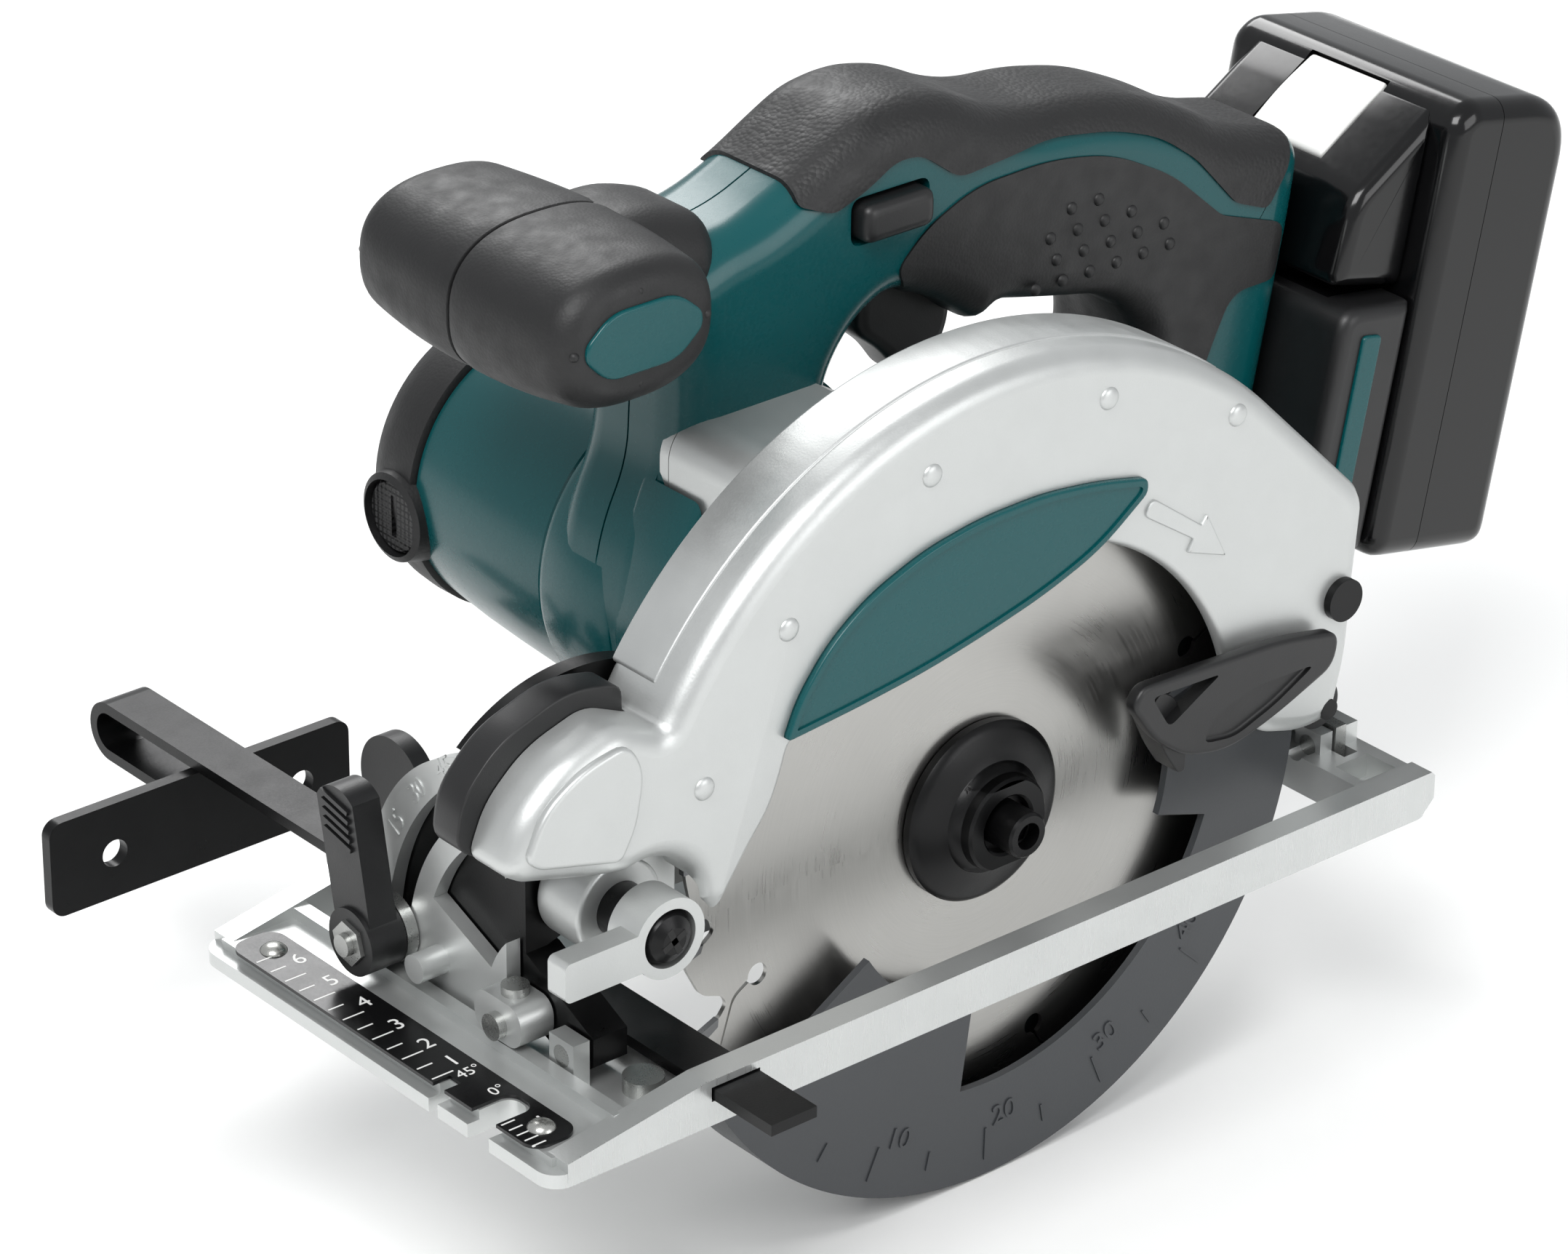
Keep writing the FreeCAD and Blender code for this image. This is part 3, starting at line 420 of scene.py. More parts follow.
loop = [(-54, 50, 10), (-57, 70, 12), (-54, 86, 8), (-47, 100, 10), (-46, 120, 10),
        (-47, 134, 8), (-47, 146, 12), (-36, 151, 14), (-24, 153, 14), (-12, 158, 8),
        (-3, 163, 8), (6, 167.5, 8), (18, 169, 10), (30, 166.5, 10), (43, 160, 8), (54, 157, 8),
        (68, 156, 10), (84, 152.5, 10), (100, 145.5, 10), (115, 136.5, 10), on_pack(98, 64) + (14,),
        on_pack(80, 63) + (8,), on_pack(2, 63) + (6,), (104, 24, 10), (60, 33, 20),
        (14, 32, 15), (-20, 29.6, 15), (-43, 37, 15)]
window = [(-6, 98, 6), (-4, 112, 10), (3, 122, 8), (13, 127, 6), (26, 122, 6), (38, 112.5, 4),
          (44, 116, 5), (60, 112, 10), (78, 108, 8), (88, 98, 10), (88, 84, 8), (72, 75, 8),
          (20, 73, 10), (2, 80, 10)]
shell_path, window_path = outline(loop, 8), outline(window, 5)


def body_solid(name, material, grow=0.0):
    """The handle loop as one rounded solid, grown outwards by a small distance."""
    low, high = 42.0 - grow, 78.0 + grow
    solid = prism(name, drawn_in(shell_path, -grow), low, high, material, 10, 10, steps=9)
    hole = cutter(drawn_in(window_path, grow), low - 0.01, high + 0.01, 8, 8, steps=7, flare=True)
    return combine(solid, [hole], smooth=50)


half_joint = 0.25
for name, low, high, node in (("near_body_shell", 30, SEAM - half_joint, "near_handle_shell"),
                              ("far_body_shell", SEAM + half_joint, 90, "far_handle_shell")):
    shell = body_solid(name, teal)
    combine(shell, [cutter(outline([(-90, 0), (200, 0), (200, 200), (-90, 200)], 0.5), low, high)],
            "INTERSECT", 50)
    trigger_slot = outline([(11, 96, 1), (44.5, 96, 1), (44.5, 130, 3), (11, 130, 3)], 1)
    bar_slot = outline([(-1, 141.5, 3), (21, 141.5, 3), (21, 152.5, 3), (-1, 152.5, 3)], 3, 0.8)
    combine(shell, [cutter(trigger_slot, 52, 68), cutter(bar_slot, 30, 90),
                    cutter(circle_path((-20, 65.5), 32), 50, 90)], smooth=50)
    fit(shell, "head", "teal_shell", node)
collar = prism("gear_flange_cover", outline(
    [(-54, 44, 10), (-57, 70, 10), (-53, 88, 8), (-46, 104, 8), (-30, 114, 8), (-6, 113, 8),
     (16, 90, 8), (26, 60, 8), (22, 34, 8), (0, 24, 10), (-30, 28, 10)], 8), 33.5, 54, teal, 2.5,
    2)
housing_path = outline([(-48, 54), (-48, 105), (-38, 114), (-9, 114), (23, 92), (25, 50), (21, 24),
                        (0, 4), (-21, 24), (-31, 33)], 2)
combine(collar, [cutter(housing_path, 20, 49.3)])
fit(collar, "head", "teal_shell")

# Overmoulded grips ------------------------------------------------------------------------------
# Soft black elastomer moulded over the shells: a pad along the top of the loop, and side panels
# that run back into the foot. Both have a fine leathery grain and stand half a millimetre proud.


def elastomer(name, code, cell, depth):
    """Moulded rubber: small rounded cells in the bump over a satin black."""
    material, tree, shader = new_material(name, Base_Color=srgb(code), Metallic=0.0)
    place = add(tree, "TexCoord").outputs["Object"]
    cells = add(tree, "TexVoronoi", {"Vector": place, "Scale": 1000 / cell}, feature="F1")
    soft = grain(tree, 6)
    polish = add(tree, "MapRange", {0: soft.outputs[0], 1: 0.3, 2: 0.7, 3: 0.46, 4: 0.6})
    relief = add(tree, "Bump", {"Height": cells.outputs["Distance"], "Distance": depth * MM,
                                "Strength": 0.7})
    relief.invert = True
    tree.links.new(polish.outputs[0], shader.inputs["Roughness"])
    tree.links.new(relief.outputs[0], shader.inputs["Normal"])
    return material


rubber = elastomer("elastomer_overmould", "#121213", 0.75, 0.05)
coarse_rubber = elastomer("elastomer_textured_pad", "#141415", 1.1, 0.16)
pad_region = outline([(-14, 154, 1), (-6, 151, 2), (3, 154, 4), (11, 158.5, 4), (18, 158, 3),
                      (29, 150, 3), (42, 151, 6), (56, 152, 6), (74, 149, 6), (88, 144, 6),
                      (99, 136, 3), (112, 122, 2), (122, 118, 2), (132, 132, 2), (100, 160, 2),
                      (30, 178, 2), (-12, 170, 2)], 2)
top_pad = body_solid("top_grip_pad", coarse_rubber, 0.7)
combine(top_pad, [cutter(pad_region, 30, 90)], "INTERSECT", 50)
fit(top_pad, "head", "black_rubber", "top_pad")
side_region = outline([(12, 133, 3), (20, 140.5, 5), (34, 146.5, 8), (56, 147, 8), (74, 143.5, 8),
                       (92, 134, 6), (108, 120, 2), (128, 113, 4), (126, 100, 3), (112, 100, 5),
                       (104, 84, 10), (98, 64, 5), (86, 60, 3), (80, 84, 3), (82, 106, 4),
                       (60, 106, 4), (40, 108, 3), (28, 117, 3), (18, 124.5, 4)], 3)
side_panels = body_solid("side_grip_panels", rubber, 0.5)
combine(side_panels, [cutter(side_region, 30, 90)], "INTERSECT", 50)
combine(side_panels, [cutter(pad_region, 30, 90)], smooth=50)
fit(side_panels, "head", "black_rubber", "side_grips")

# Rows of small raised dimples give the side panels their hold.
spots = [(x, z) for row, z in enumerate((117.5, 123, 128.5, 134))
         for x in np.arange(52 + 4 * (row % 2) + 2 * row, 98 - 7 * row, 8.0)]
for side, end, level in ((-1, "near", 41.6), (1, "far", 78.4)):
    domes("grip_dimples_" + end, spots, 1.5, 0.9, level, side, rubber, "black_rubber")

# Front grip -------------------------------------------------------------------------------------
# A hollow knob across the saw for the front hand: two elastomer-covered halves with a fine joint
# round the middle, flat oval ends with a colour badge, and a broad neck back to the loop.


def knob(name, start, end, material):
    """Half of the front grip: oval rings (powers of 2.5) along Y. The half-sizes shrink with the
    square of the distance from the middle, and the last stretch closes along a quarter circle."""
    closing = 6.0
    direction = 1 if end > start else -1
    length = abs(end - start)
    turn = np.linspace(0, math.pi / 2, 10)
    levels = [(d, 0.0) for d in np.linspace(0, length - closing, 12)]
    levels += [(length - closing * (1 - math.sin(t)), closing * 0.9 * (1 - math.cos(t)))
               for t in turn[1:]]
    levels = [(0.0, 0.9), (0.35, 0.25)] + levels[1:]
    count = 72
    angle = np.arange(count) / count * 2 * math.pi
    layers = []
    for distance, draw in levels:
        share = distance / 37
        wide, tall = 23.8 - 4.0 * share ** 2 - draw, 17.2 - 2.6 * share ** 2 - draw
        middle = (-70 - 1.5 * share, 146 + 1.6 * share ** 2)
        u = middle[0] + wide * np.sign(np.cos(angle)) * np.abs(np.cos(angle)) ** 0.8
        v = middle[1] + tall * np.sign(np.sin(angle)) * np.abs(np.sin(angle)) ** 0.8
        layers.append(np.stack((u, np.full(count, start + direction * distance), v), axis=1))
    faces = tube_faces(count, len(levels))
    if direction < 0:
        faces = [face[::-1] for face in faces]
    return mesh_object(name, np.vstack(layers), faces, material, 50)


fit(knob("front_grip_near", 59.8, 24, rubber), "head", "black_rubber", "front_grip")
fit(knob("front_grip_far", 60.2, 96, rubber), "head", "black_rubber")
neck = prism("front_grip_neck", outline([(-60, 131, 6), (-43, 126, 6), (-35, 132, 8),
                                         (-31, 146, 8), (-34, 156, 8), (-48, 161, 8),
                                         (-62, 160, 6)], 6), 43, 77, rubber, 11, 11, steps=9)
fit(neck, "head", "black_rubber")
emblem_path = outline([(-86.5, 146, 8), (-81, 140.4, 8), (-63, 140.4, 9), (-56.5, 146, 8),
                       (-56.5, 149.5, 8), (-63, 155, 8), (-80, 155, 9), (-86.5, 149.5, 8)], 8)
for side, end, base, node in ((-1, "near", 24.0, ["grip_emblem"]), (1, "far", 96.0, [])):
    low, high = sorted((base + side * 0.9, base - side * 3))
    emblem = prism("front_grip_badge_" + end, emblem_path, low, high, teal, 0.6, 0.6)
    fit(emblem, "head", "teal_shell", *node)
    domes("front_grip_nubs_" + end, [(-72, 157.6), (-72, 137.4), (-54.4, 147.6), (-88.6, 147.6)],
          1.1, 1.1, base + side * -1.0, side, rubber, "black_rubber")

# Trigger and buttons ----------------------------------------------------------------------------
# Glass-filled nylon, spark-eroded finish. The trigger hangs in front of the loop's underside, the
# lock-off bar slides right through the handle, and the spindle lock sits by the gear housing.
trigger = prism("trigger_blade", outline(
    [(12.5, 113, 3), (20, 107, 4), (25.5, 99.5, 3), (31, 98.6, 3), (35.5, 102, 3), (39.5, 111, 4),
     (38, 123.5, 2), (17, 125.5, 2), (12.5, 121, 2)], 3, 0.8), 54, 66, nylon, 2.5, 2.5)
fit(trigger, "switch_trigger", "black_plastic", "trigger")
bar = prism("lock_off_bar", outline([(0.3, 142.6, 3), (19.8, 142.6, 3), (19.8, 151.4, 3),
                                     (0.3, 151.4, 3)], 3, 0.6), 38, 82, nylon, 2.2, 2.2)
fit(bar, "lock_off", "black_plastic", "lock_off_button")
for name, width in (("spindle_lock", 1.2), ("depth_lever", 1.4), ("switch_body", 0.8),
                    ("cooling_fan", 0.2)):
    dress(name, nylon, width)

# Motor ------------------------------------------------------------------------------------------
# A teal can round the field, closed by a black end cap that is clipped over it. Each side of the
# cap has a knurled, slotted screw cap over a carbon brush, and a ring of cooling slots.
MOTOR = (-20.0, 65.5)


def turned(name, profile, centre, material, count=96, smooth=38, axis="Y"):
    """Surface of revolution: a profile of (radius, level) carried round an axis along Y (or X or
    Z). A profile that ends on the axis closes there in a single point ring."""
    profile = np.array(profile, float)
    turn = np.linspace(0, 2 * math.pi, count, endpoint=False)
    radius, level = profile[:, 0][:, None], profile[:, 1][:, None]
    a, b, c = radius * np.cos(turn), level + 0 * turn, radius * np.sin(turn)
    if axis == "Y":
        points = np.stack((centre[0] + a, b, centre[1] + c), axis=2)
    elif axis == "X":
        points = np.stack((b, centre[0] + a, centre[1] + c), axis=2)
    else:
        points = np.stack((centre[0] + a, centre[1] - c, b), axis=2)
    rows = len(profile)
    faces = []
    here = np.arange(count)
    step = (here + 1) % count
    for row in range(rows):
        following = (row + 1) % rows
        if radius[row, 0] < 0.01 and radius[following, 0] < 0.01:
            continue
        quads = np.stack((here + row * count, here + following * count,
                          step + following * count, step + row * count), axis=1)
        faces += [tuple(quad) for quad in quads.tolist()]
    flat = points.reshape(-1, 3)
    piece = mesh_object(name, flat, faces, material, smooth)
    weld = piece.modifiers.new("poles", "WELD")
    weld.merge_threshold = 0.00001
    shape = finished(piece)
    piece.modifiers.clear()
    piece.data = shape
    outward = sum(p.normal.dot(p.center - Vector(flat.mean(axis=0) * MM)) * p.area
                  for p in shape.polygons)
    if outward < 0:
        shape.flip_normals()
    shape.set_sharp_from_angle(angle=math.radians(smooth))
    return piece


can = turned("motor_can", [(35.2, 78.4), (36, 79.4), (36, 88), (35.4, 100), (34.6, 112),
                           (33.4, 124), (33, 127), (30.2, 127), (31, 112), (33, 78.4)], MOTOR, teal)
fit(can, "head", "teal_shell", "motor_housing")
front_can = turned("motor_can_front", [(36.2, 55), (37.6, 58), (37.6, 76), (36.8, 77.8),
                                       (35.2, 77.9), (34, 76), (34, 55)], MOTOR, teal)
front_part = outline([(-60, 20), (-5, 20), (-5, 120), (-60, 120)], 1)
combine(front_can, [cutter(front_part, 50, 80)], "INTERSECT")
fit(front_can, "head", "teal_shell")
cap_profile = [(33.2, 127.3), (34.2, 128), (34.3, 133), (33.9, 138), (32.4, 142.5), (29, 146),
               (24, 147.8), (14, 148), (0, 148), (0, 145.4), (22, 145.4), (27.5, 143),
               (30.4, 139), (31.2, 133), (31, 127.3)]
cap = turned("motor_end_cap", cap_profile, MOTOR, rubber)
slots = []
slot_count = 10
for index in range(slot_count):
    way = math.radians(360 // slot_count * index)
    d, e = math.cos(way), math.sin(way)
    u, v = MOTOR[0] + 17 * d, MOTOR[1] + 17 * e
    slots.append(cutter(outline([(u + length * d + width * e, v + length * e - width * d)
                                 for length, width in ((-7, 1.5), (7, 1.5), (7, -1.5), (-7, -1.5))],
                                1.4, 0.6), 140, 150))
combine(cap, slots)
fit(cap, "head", "black_rubber", "end_cap")


def block(across, along, upward):
    """Plain cutting block between two levels on each axis."""
    return mesh_object("cutter", [(x, y, z) for x in across for y in along for z in upward],
                       [(0, 1, 3, 2), (4, 6, 7, 5), (0, 4, 5, 1), (2, 3, 7, 6), (0, 2, 6, 4),
                        (1, 5, 7, 3)], None)


def knurled(name, code, across):
    """Nylon with a fine square knurl in the bump, across the two named axes."""
    material, tree, shader = new_material(name, Base_Color=srgb(code), Roughness=0.4)
    place = add(tree, "SeparateXYZ", {0: add(tree, "TexCoord").outputs["Object"]})
    waves = []
    for axis in across:
        scaled = add(tree, "Math", {0: place.outputs[axis], 1: 2 * math.pi / (1.5 * MM)},
                     operation="MULTIPLY")
        waves.append(add(tree, "Math", {0: scaled.outputs[0]}, operation="SINE").outputs[0])
    total = add(tree, "Math", {0: waves[0], 1: waves[1]}, operation="ADD")
    relief = add(tree, "Bump", {"Height": total.outputs[0], "Distance": 0.2 * MM, "Strength": 0.8})
    tree.links.new(relief.outputs[0], shader.inputs["Normal"])
    return material


knurl = knurled("black_nylon_knurled", "#161617", (1, 2))
BRUSH = (133, 61)
for side, end, inner, outer in ((-1, "front", -50, -54.6), (1, "rear", 10, 14.6)):
    brush = turned("brush_cap_" + end, [(0, inner), (8.6, inner), (8.6, outer - side * 0.6),
                                        (8.0, outer), (0, outer)], BRUSH, knurl, 64, axis="X")
    combine(brush, [block(sorted((outer + side, outer - side * 1.3)), (132.1, 133.9), (56, 66))])
    lip_level = outer + side * 1.4
    seat = turned("brush_seat_" + end, [(9, lip_level), (10.4, lip_level - side * 0.8),
                                        (11.6, inner), (9, inner)], BRUSH, rubber, 64, axis="X")
    fit(brush, "head", "black_plastic", *(["brush_caps"] if side < 0 else []))
    fit(seat, "head", "black_rubber")

winding = surface("varnished_copper_winding", "#8A4A22", 0.3, 0.6, fine=0.8, depth=0.1)
steel = surface("ground_steel", "#B9B9B5", 0.28, 0.95, fine=0.3, depth=0.01)
for name in ("stator", "armature"):
    dress(name, winding)
for name in ("armature_shaft", "spindle", "idler_shaft", "bearings"):
    dress(name, steel, 0.2)

# Battery pack -----------------------------------------------------------------------------------
# Two glossy black ABS shells joined halfway along, round ten cells. The head slopes at the front,
# where a white release key sits in its own recess; rails below run in the saw's foot.
gloss_black = surface("black_abs_gloss", "#070708", 0.17, fine=1.8, depth=0.006, patch=25,
                      spread=0.04, tint=0.02, Coat_Weight=0.15, Coat_Roughness=0.08,
                      Specular_IOR_Level=0.35)
case_path = outline([(0, 0, 6), (0, 110, 18), (-35, 110, 6), (-40, 105.4, 6), (-40, 0, 6)], 6)
head_path = outline([(-39, 64.4, 1), (-62, 65.5, 3), (-60.5, 86, 5), (-39, 106.1, 1)], 2)
rail_path = outline([(-58, 8, 2), (-39.5, 8, 0.5), (-39.5, 62, 0.5), (-58, 62, 2)], 1)


def slope_point(along, out):
    """Point (u, v) of the upright pack: a distance up its sloping front, and one out from it."""
    run = np.array((30.0, 28.0)) / math.hypot(30, 28)
    return tuple(np.array((-60.0, 86.0)) + run * along + np.array((-run[1], run[0])) * out)


rear_shell = prism("pack_rear_shell", case_path, -37.5, 37.5, gloss_black, 5, 5, PACK, 7)
front_shell = prism("pack_front_shell", case_path, -37.5, 37.5, gloss_black, 5, 5, PACK, 7)
for shell, near, far in ((rear_shell, 10, -24.9), (front_shell, -25.1, -60)):
    part = outline([(near, -10), (near, 130), (far, 130), (far, -10)], 0.5)
    combine(shell, [cutter(part, -50, 50, place=PACK)], "INTERSECT")
pack_head = prism("pack_head", head_path, -30, 30, gloss_black, 3.5, 3.5, PACK, 7)
for piece, start in ((pack_head, 6.4), (front_shell, 20)):
    recess = outline([slope_point(start, 3), slope_point(start, -4.4), slope_point(31.6, -4.4),
                      slope_point(31.6, 3)], 0.5)
    combine(piece, [cutter(recess, -12.6, 12.6, place=PACK)])
pack_rails = prism("pack_rail_block", rail_path, -25, 25, gloss_black, 1.5, 1.5, PACK)
fit(rear_shell, "battery", "black_pack", "battery_rear_shell")
fit(front_shell, "battery", "black_pack", "battery_front_shell")
fit(pack_head, "battery", "black_pack")
fit(pack_rails, "battery", "black_pack")
white = surface("white_abs_satin", "#EDEDEA", 0.35, fine=0.8, depth=0.008, spread=0.03, tint=0.01)
key = prism("pack_release_key", outline([slope_point(7, -2.2), slope_point(7, 0.6) + (1.5,),
                                         slope_point(19, 1.6) + (6,), slope_point(31, 0.6) + (1.5,),
                                         slope_point(31, -2.2)], 0.4), -12, 12, white, 1, 1, PACK)
fit(key, "release_key", "white_plastic", "battery_key")
sleeve = surface("cell_shrink_sleeve", "#2F5F8A", 0.3, fine=1, depth=0.01)
dress("battery_cells", sleeve)
foot = prism("pack_foot", outline([(-62.5, 1.5, 3), (-40.7, 2.5, 2), (-40.7, 63, 1),
                                   (-62.5, 62, 6)], 2), -35.6, 35.6, nylon, 3, 3, PACK)
foot_hollow = outline([(-58.5, 7.5), (-30, 7.5), (-30, 70), (-58.5, 70)], 0.5)
combine(foot, [cutter(foot_hollow, -25.5, 25.5, place=PACK)])
fit(foot, "head", "black_plastic", "battery_mount")
strip_path = outline([(-56, 12, 1.5), (-50, 12, 1.5), (-50, 56, 1.5), (-56, 56, 1.5)], 1.5, 0.6)
for side, end in ((-1, "near"), (1, "far")):
    strip = prism("pack_foot_strip_" + end, strip_path, *sorted((side * 36.4, side * 34)), teal,
                  0.5, 0.5, PACK)
    fit(strip, "head", "teal_shell")

# Blade and its flanges --------------------------------------------------------------------------
# Hardened tool-steel plate, surface ground and lacquered, with brazed carbide tips and four
# expansion slots that end in punched holes. Both flanges and the socket bolt are blackened steel.
black_steel = surface("blackened_steel", "#0E0E0F", 0.34, 0.55, fine=0.5, depth=0.02,
                      spread=0.08)


def ground_plate(name, code):
    """Ground steel: streaks that run round the arbor, in the roughness and a faint bump."""
    material, tree, shader = new_material(name, Metallic=1.0, Anisotropic=0.55)
    place = add(tree, "VectorMath", {0: add(tree, "TexCoord").outputs["Object"],
                                     1: (0, 0, ARBOR[1] * MM)}, operation="SUBTRACT")
    level = add(tree, "VectorMath", {0: place.outputs[0], 1: (1, 0, 1)}, operation="MULTIPLY")
    radius = add(tree, "VectorMath", {0: level.outputs[0]}, operation="LENGTH")
    parts = add(tree, "SeparateXYZ", {0: place.outputs[0]})
    angle = add(tree, "Math", {0: parts.outputs[2], 1: parts.outputs[0]}, operation="ARCTAN2")
    ring = add(tree, "Math", {0: radius.outputs["Value"], 1: 2600.0}, operation="MULTIPLY")
    turn = add(tree, "Math", {0: angle.outputs[0], 1: 3.0}, operation="MULTIPLY")
    place_2 = add(tree, "CombineXYZ", {0: ring.outputs[0], 1: turn.outputs[0]})
    streak = add(tree, "TexNoise", {"Vector": place_2.outputs[0], "Scale": 1.0, "Detail": 4})
    slow = grain(tree, 18)
    shades = add(tree, "Mix", {0: streak.outputs[0], 6: [c * 0.86 for c in srgb(code)[:3]] + [1],
                               7: srgb(code)}, data_type="RGBA")
    mixed = add(tree, "Math", {0: streak.outputs[0], 1: slow.outputs[0]}, operation="ADD")
    polish = add(tree, "MapRange", {0: mixed.outputs[0], 1: 0.6, 2: 1.4, 3: 0.24, 4: 0.38})
    relief = add(tree, "Bump", {"Height": streak.outputs[0], "Distance": 0.008 * MM,
                                "Strength": 0.5})
    tangent = add(tree, "Tangent", direction_type="RADIAL", axis="Y")
    tree.links.new(tangent.outputs[0], shader.inputs["Tangent"])
    tree.links.new(shades.outputs[2], shader.inputs["Base Color"])
    tree.links.new(polish.outputs[0], shader.inputs["Roughness"])
    tree.links.new(relief.outputs[0], shader.inputs["Normal"])
    return material


plate_steel = ground_plate("blade_ground_steel", "#B4B3B0")


def polar(radius, degrees):
    """Point (x, z) at a radius and an angle from +X towards +Z about the arbor."""
    turn = math.radians(degrees)
    return (ARBOR[0] + radius * math.cos(turn), ARBOR[1] + radius * math.sin(turn))


rim = []
TIP, TEETH = 82.5, 24
TOOTH_STEP = 360 // TEETH
for tooth in range(TEETH):
    start = TOOTH_STEP * tooth + 5
    rim += [polar(TIP - 0.4, start) + (0.1,), polar(TIP - 1.6, start + 3) + (1,)]
    if tooth % 6 == 1:
        slit = start - 2.9
        centre = np.array(polar(63.8, slit))
        bore = [tuple(centre + 2.6 * np.array((math.cos(t), math.sin(t)))) + (0.3,)
                for t in np.radians(slit - np.linspace(10, 350, 24))]
        rim += [polar(80.2, slit + 8.7) + (0.2,), polar(71, slit + 0.5) + (2,)] + bore
        rim += [polar(71, slit + 1.2) + (2,), polar(80, slit + 9.3) + (0.2,)]
    rim += [polar(TIP - 4, start + 8.6) + (2,), polar(TIP - 9, start + 11.2) + (3,),
            polar(TIP - 9.6, start + 13.4) + (3,), polar(TIP - 7, start + 14.7) + (0.3,)]
edge = outline(rim, 1, 0.8)
count = len(edge)
plate = mesh_object("blade_plate", [(u, y, v) for y in (-0.55, 0.55) for u, v in edge],
                    [tuple(range(count)), tuple(range(2 * count - 1, count - 1, -1))]
                    + [(at, at + count, (at + 1) % count + count, (at + 1) % count)
                       for at in range(count)], plate_steel, 20)
fit(plate, "arbor", "blade_plate", "saw_blade")
carbide = surface("sintered_carbide", "#6E6F70", 0.3, 0.9, fine=0.2, depth=0.01)
tips, faces = [], []
for tooth in range(TEETH):
    start = TOOTH_STEP * tooth + 5
    corners = [polar(TIP, start - 0.1), polar(TIP - 0.5, start + 1.7), polar(TIP - 5.6, start + 1.0),
               polar(TIP - 6.4, start - 0.3)]
    first = len(tips)
    tips += [(x, y, z) for y in (-0.75, 0.75) for x, z in corners]
    faces += [tuple(first + at for at in face) for face in
              ((0, 1, 2, 3), (7, 6, 5, 4), (0, 4, 5, 1), (1, 5, 6, 2), (2, 6, 7, 3), (3, 7, 4, 0))]
teeth = mesh_object("blade_carbide_tips", tips, faces, carbide, 20)
fit(teeth, "arbor", "blade_plate")
dress("inner_flange", black_steel, 0.3)
flange = turned("blade_outer_flange",
                [(4.1, -0.8), (21, -0.8), (21, -2.6), (20.4, -3.4), (19.2, -4.2), (15, -5.2),
                 (13, -6), (12.4, -7.2), (11.2, -8.2), (11, -10.4), (10.4, -11), (7.2, -11),
                 (6.6, -10.4), (6.6, -8), (4.1, -8)], ARBOR, black_steel, 96, 30)
flats = [block((-30, 30), (-14, -6.2), (ARBOR[1] + side * 9.4, ARBOR[1] + side * 30))
         for side in (-1, 1)]
for tool in flats:
    tool.data.flip_normals()
combine(flange, flats, smooth=30)
fit(flange, "arbor", "black_steel", "outer_flange")
bolt = turned("blade_socket_bolt", [(0, -8.2), (5.2, -8.2), (5.2, -16.7), (4.7, -17.3), (3.1, -17.3),
                                    (3.1, -14), (0, -13.6)], ARBOR, black_steel, 72, 30)
hexagon = [(ARBOR[0] + 2.9 * math.cos(a), ARBOR[1] + 2.9 * math.sin(a))
           for a in np.radians(np.arange(0, 360, 60))]
combine(bolt, [cutter(np.array(hexagon), -20, -13.2, 0.01, 0.01)], smooth=30)
fit(bolt, "arbor", "black_steel", "blade_bolt")
for name in ("drive_gear", "idler_gear", "idler_pinion", "armature_pinion"):
    dress(name, steel, 0.1)

# Lower guard ------------------------------------------------------------------------------------
# Injection-moulded dark grey nylon: a channel round the blade's lower half, with a depth scale in
# raised figures and strokes on the near wall. The lever and its screw lift it by hand.
grey = surface("guard_nylon_dark_grey", "#37393C", 0.4, fine=0.5, depth=0.025, patch=14,
               spread=0.06, tint=0.05)
dress("lower_guard", grey, 0.5)
lever = prism("guard_lift_lever", outline([(29, 46.5, 3), (36, 36.5, 4), (45, 29.5, 4),
                                           (58, 26.5, 6), (72, 30, 8), (90, 37, 5), (91.5, 45, 4),
                                           (74, 48.5, 6), (32, 50.5, 3)], 3),
              -17.8, -14.3, nylon, 1.0, 0.6)
opening = outline([(34.5, 47.4, 2), (40, 38.5, 2), (50, 44, 2), (55, 46.6, 2)], 2)
recess = outline([(50, 31, 3), (60, 29.5, 3), (72, 33.5, 3), (84, 39.5, 3), (66, 40, 3),
                  (54, 37, 3)], 3)
combine(lever, [cutter(opening, -30, -10), cutter(recess, -24, -16.6, 0.2, 0.6)])
lug = prism("guard_lever_root", outline([(36, 42), (42, 30), (46, 24), (48, 24), (48.2, 30),
                                         (44.5, 43), (40, 46)], 2), -15, -7.9, nylon, 0.3, 0.3)
fit(lever, "guard", "black_plastic", "guard_lever")
fit(lug, "guard", "black_plastic")


def lettering(text, height):
    """Outline mesh of a short generic mark: (points in millimetres, faces), flat, centred."""
    curve = bpy.data.curves.new("mark", "FONT")
    curve.body = text
    curve.size = 1.0
    curve.align_x, curve.align_y = "CENTER", "CENTER"
    curve.resolution_u = 3
    holder = bpy.data.objects.new("mark", curve)
    bpy.context.scene.collection.objects.link(holder)
    shape = finished(holder)
    flat = np.empty(len(shape.vertices) * 3)
    shape.vertices.foreach_get("co", flat)
    faces = [tuple(p.vertices) for p in shape.polygons]
    bpy.data.objects.remove(holder)
    points = flat.reshape(-1, 3)[:, :2]
    return points * height * 1.35, faces


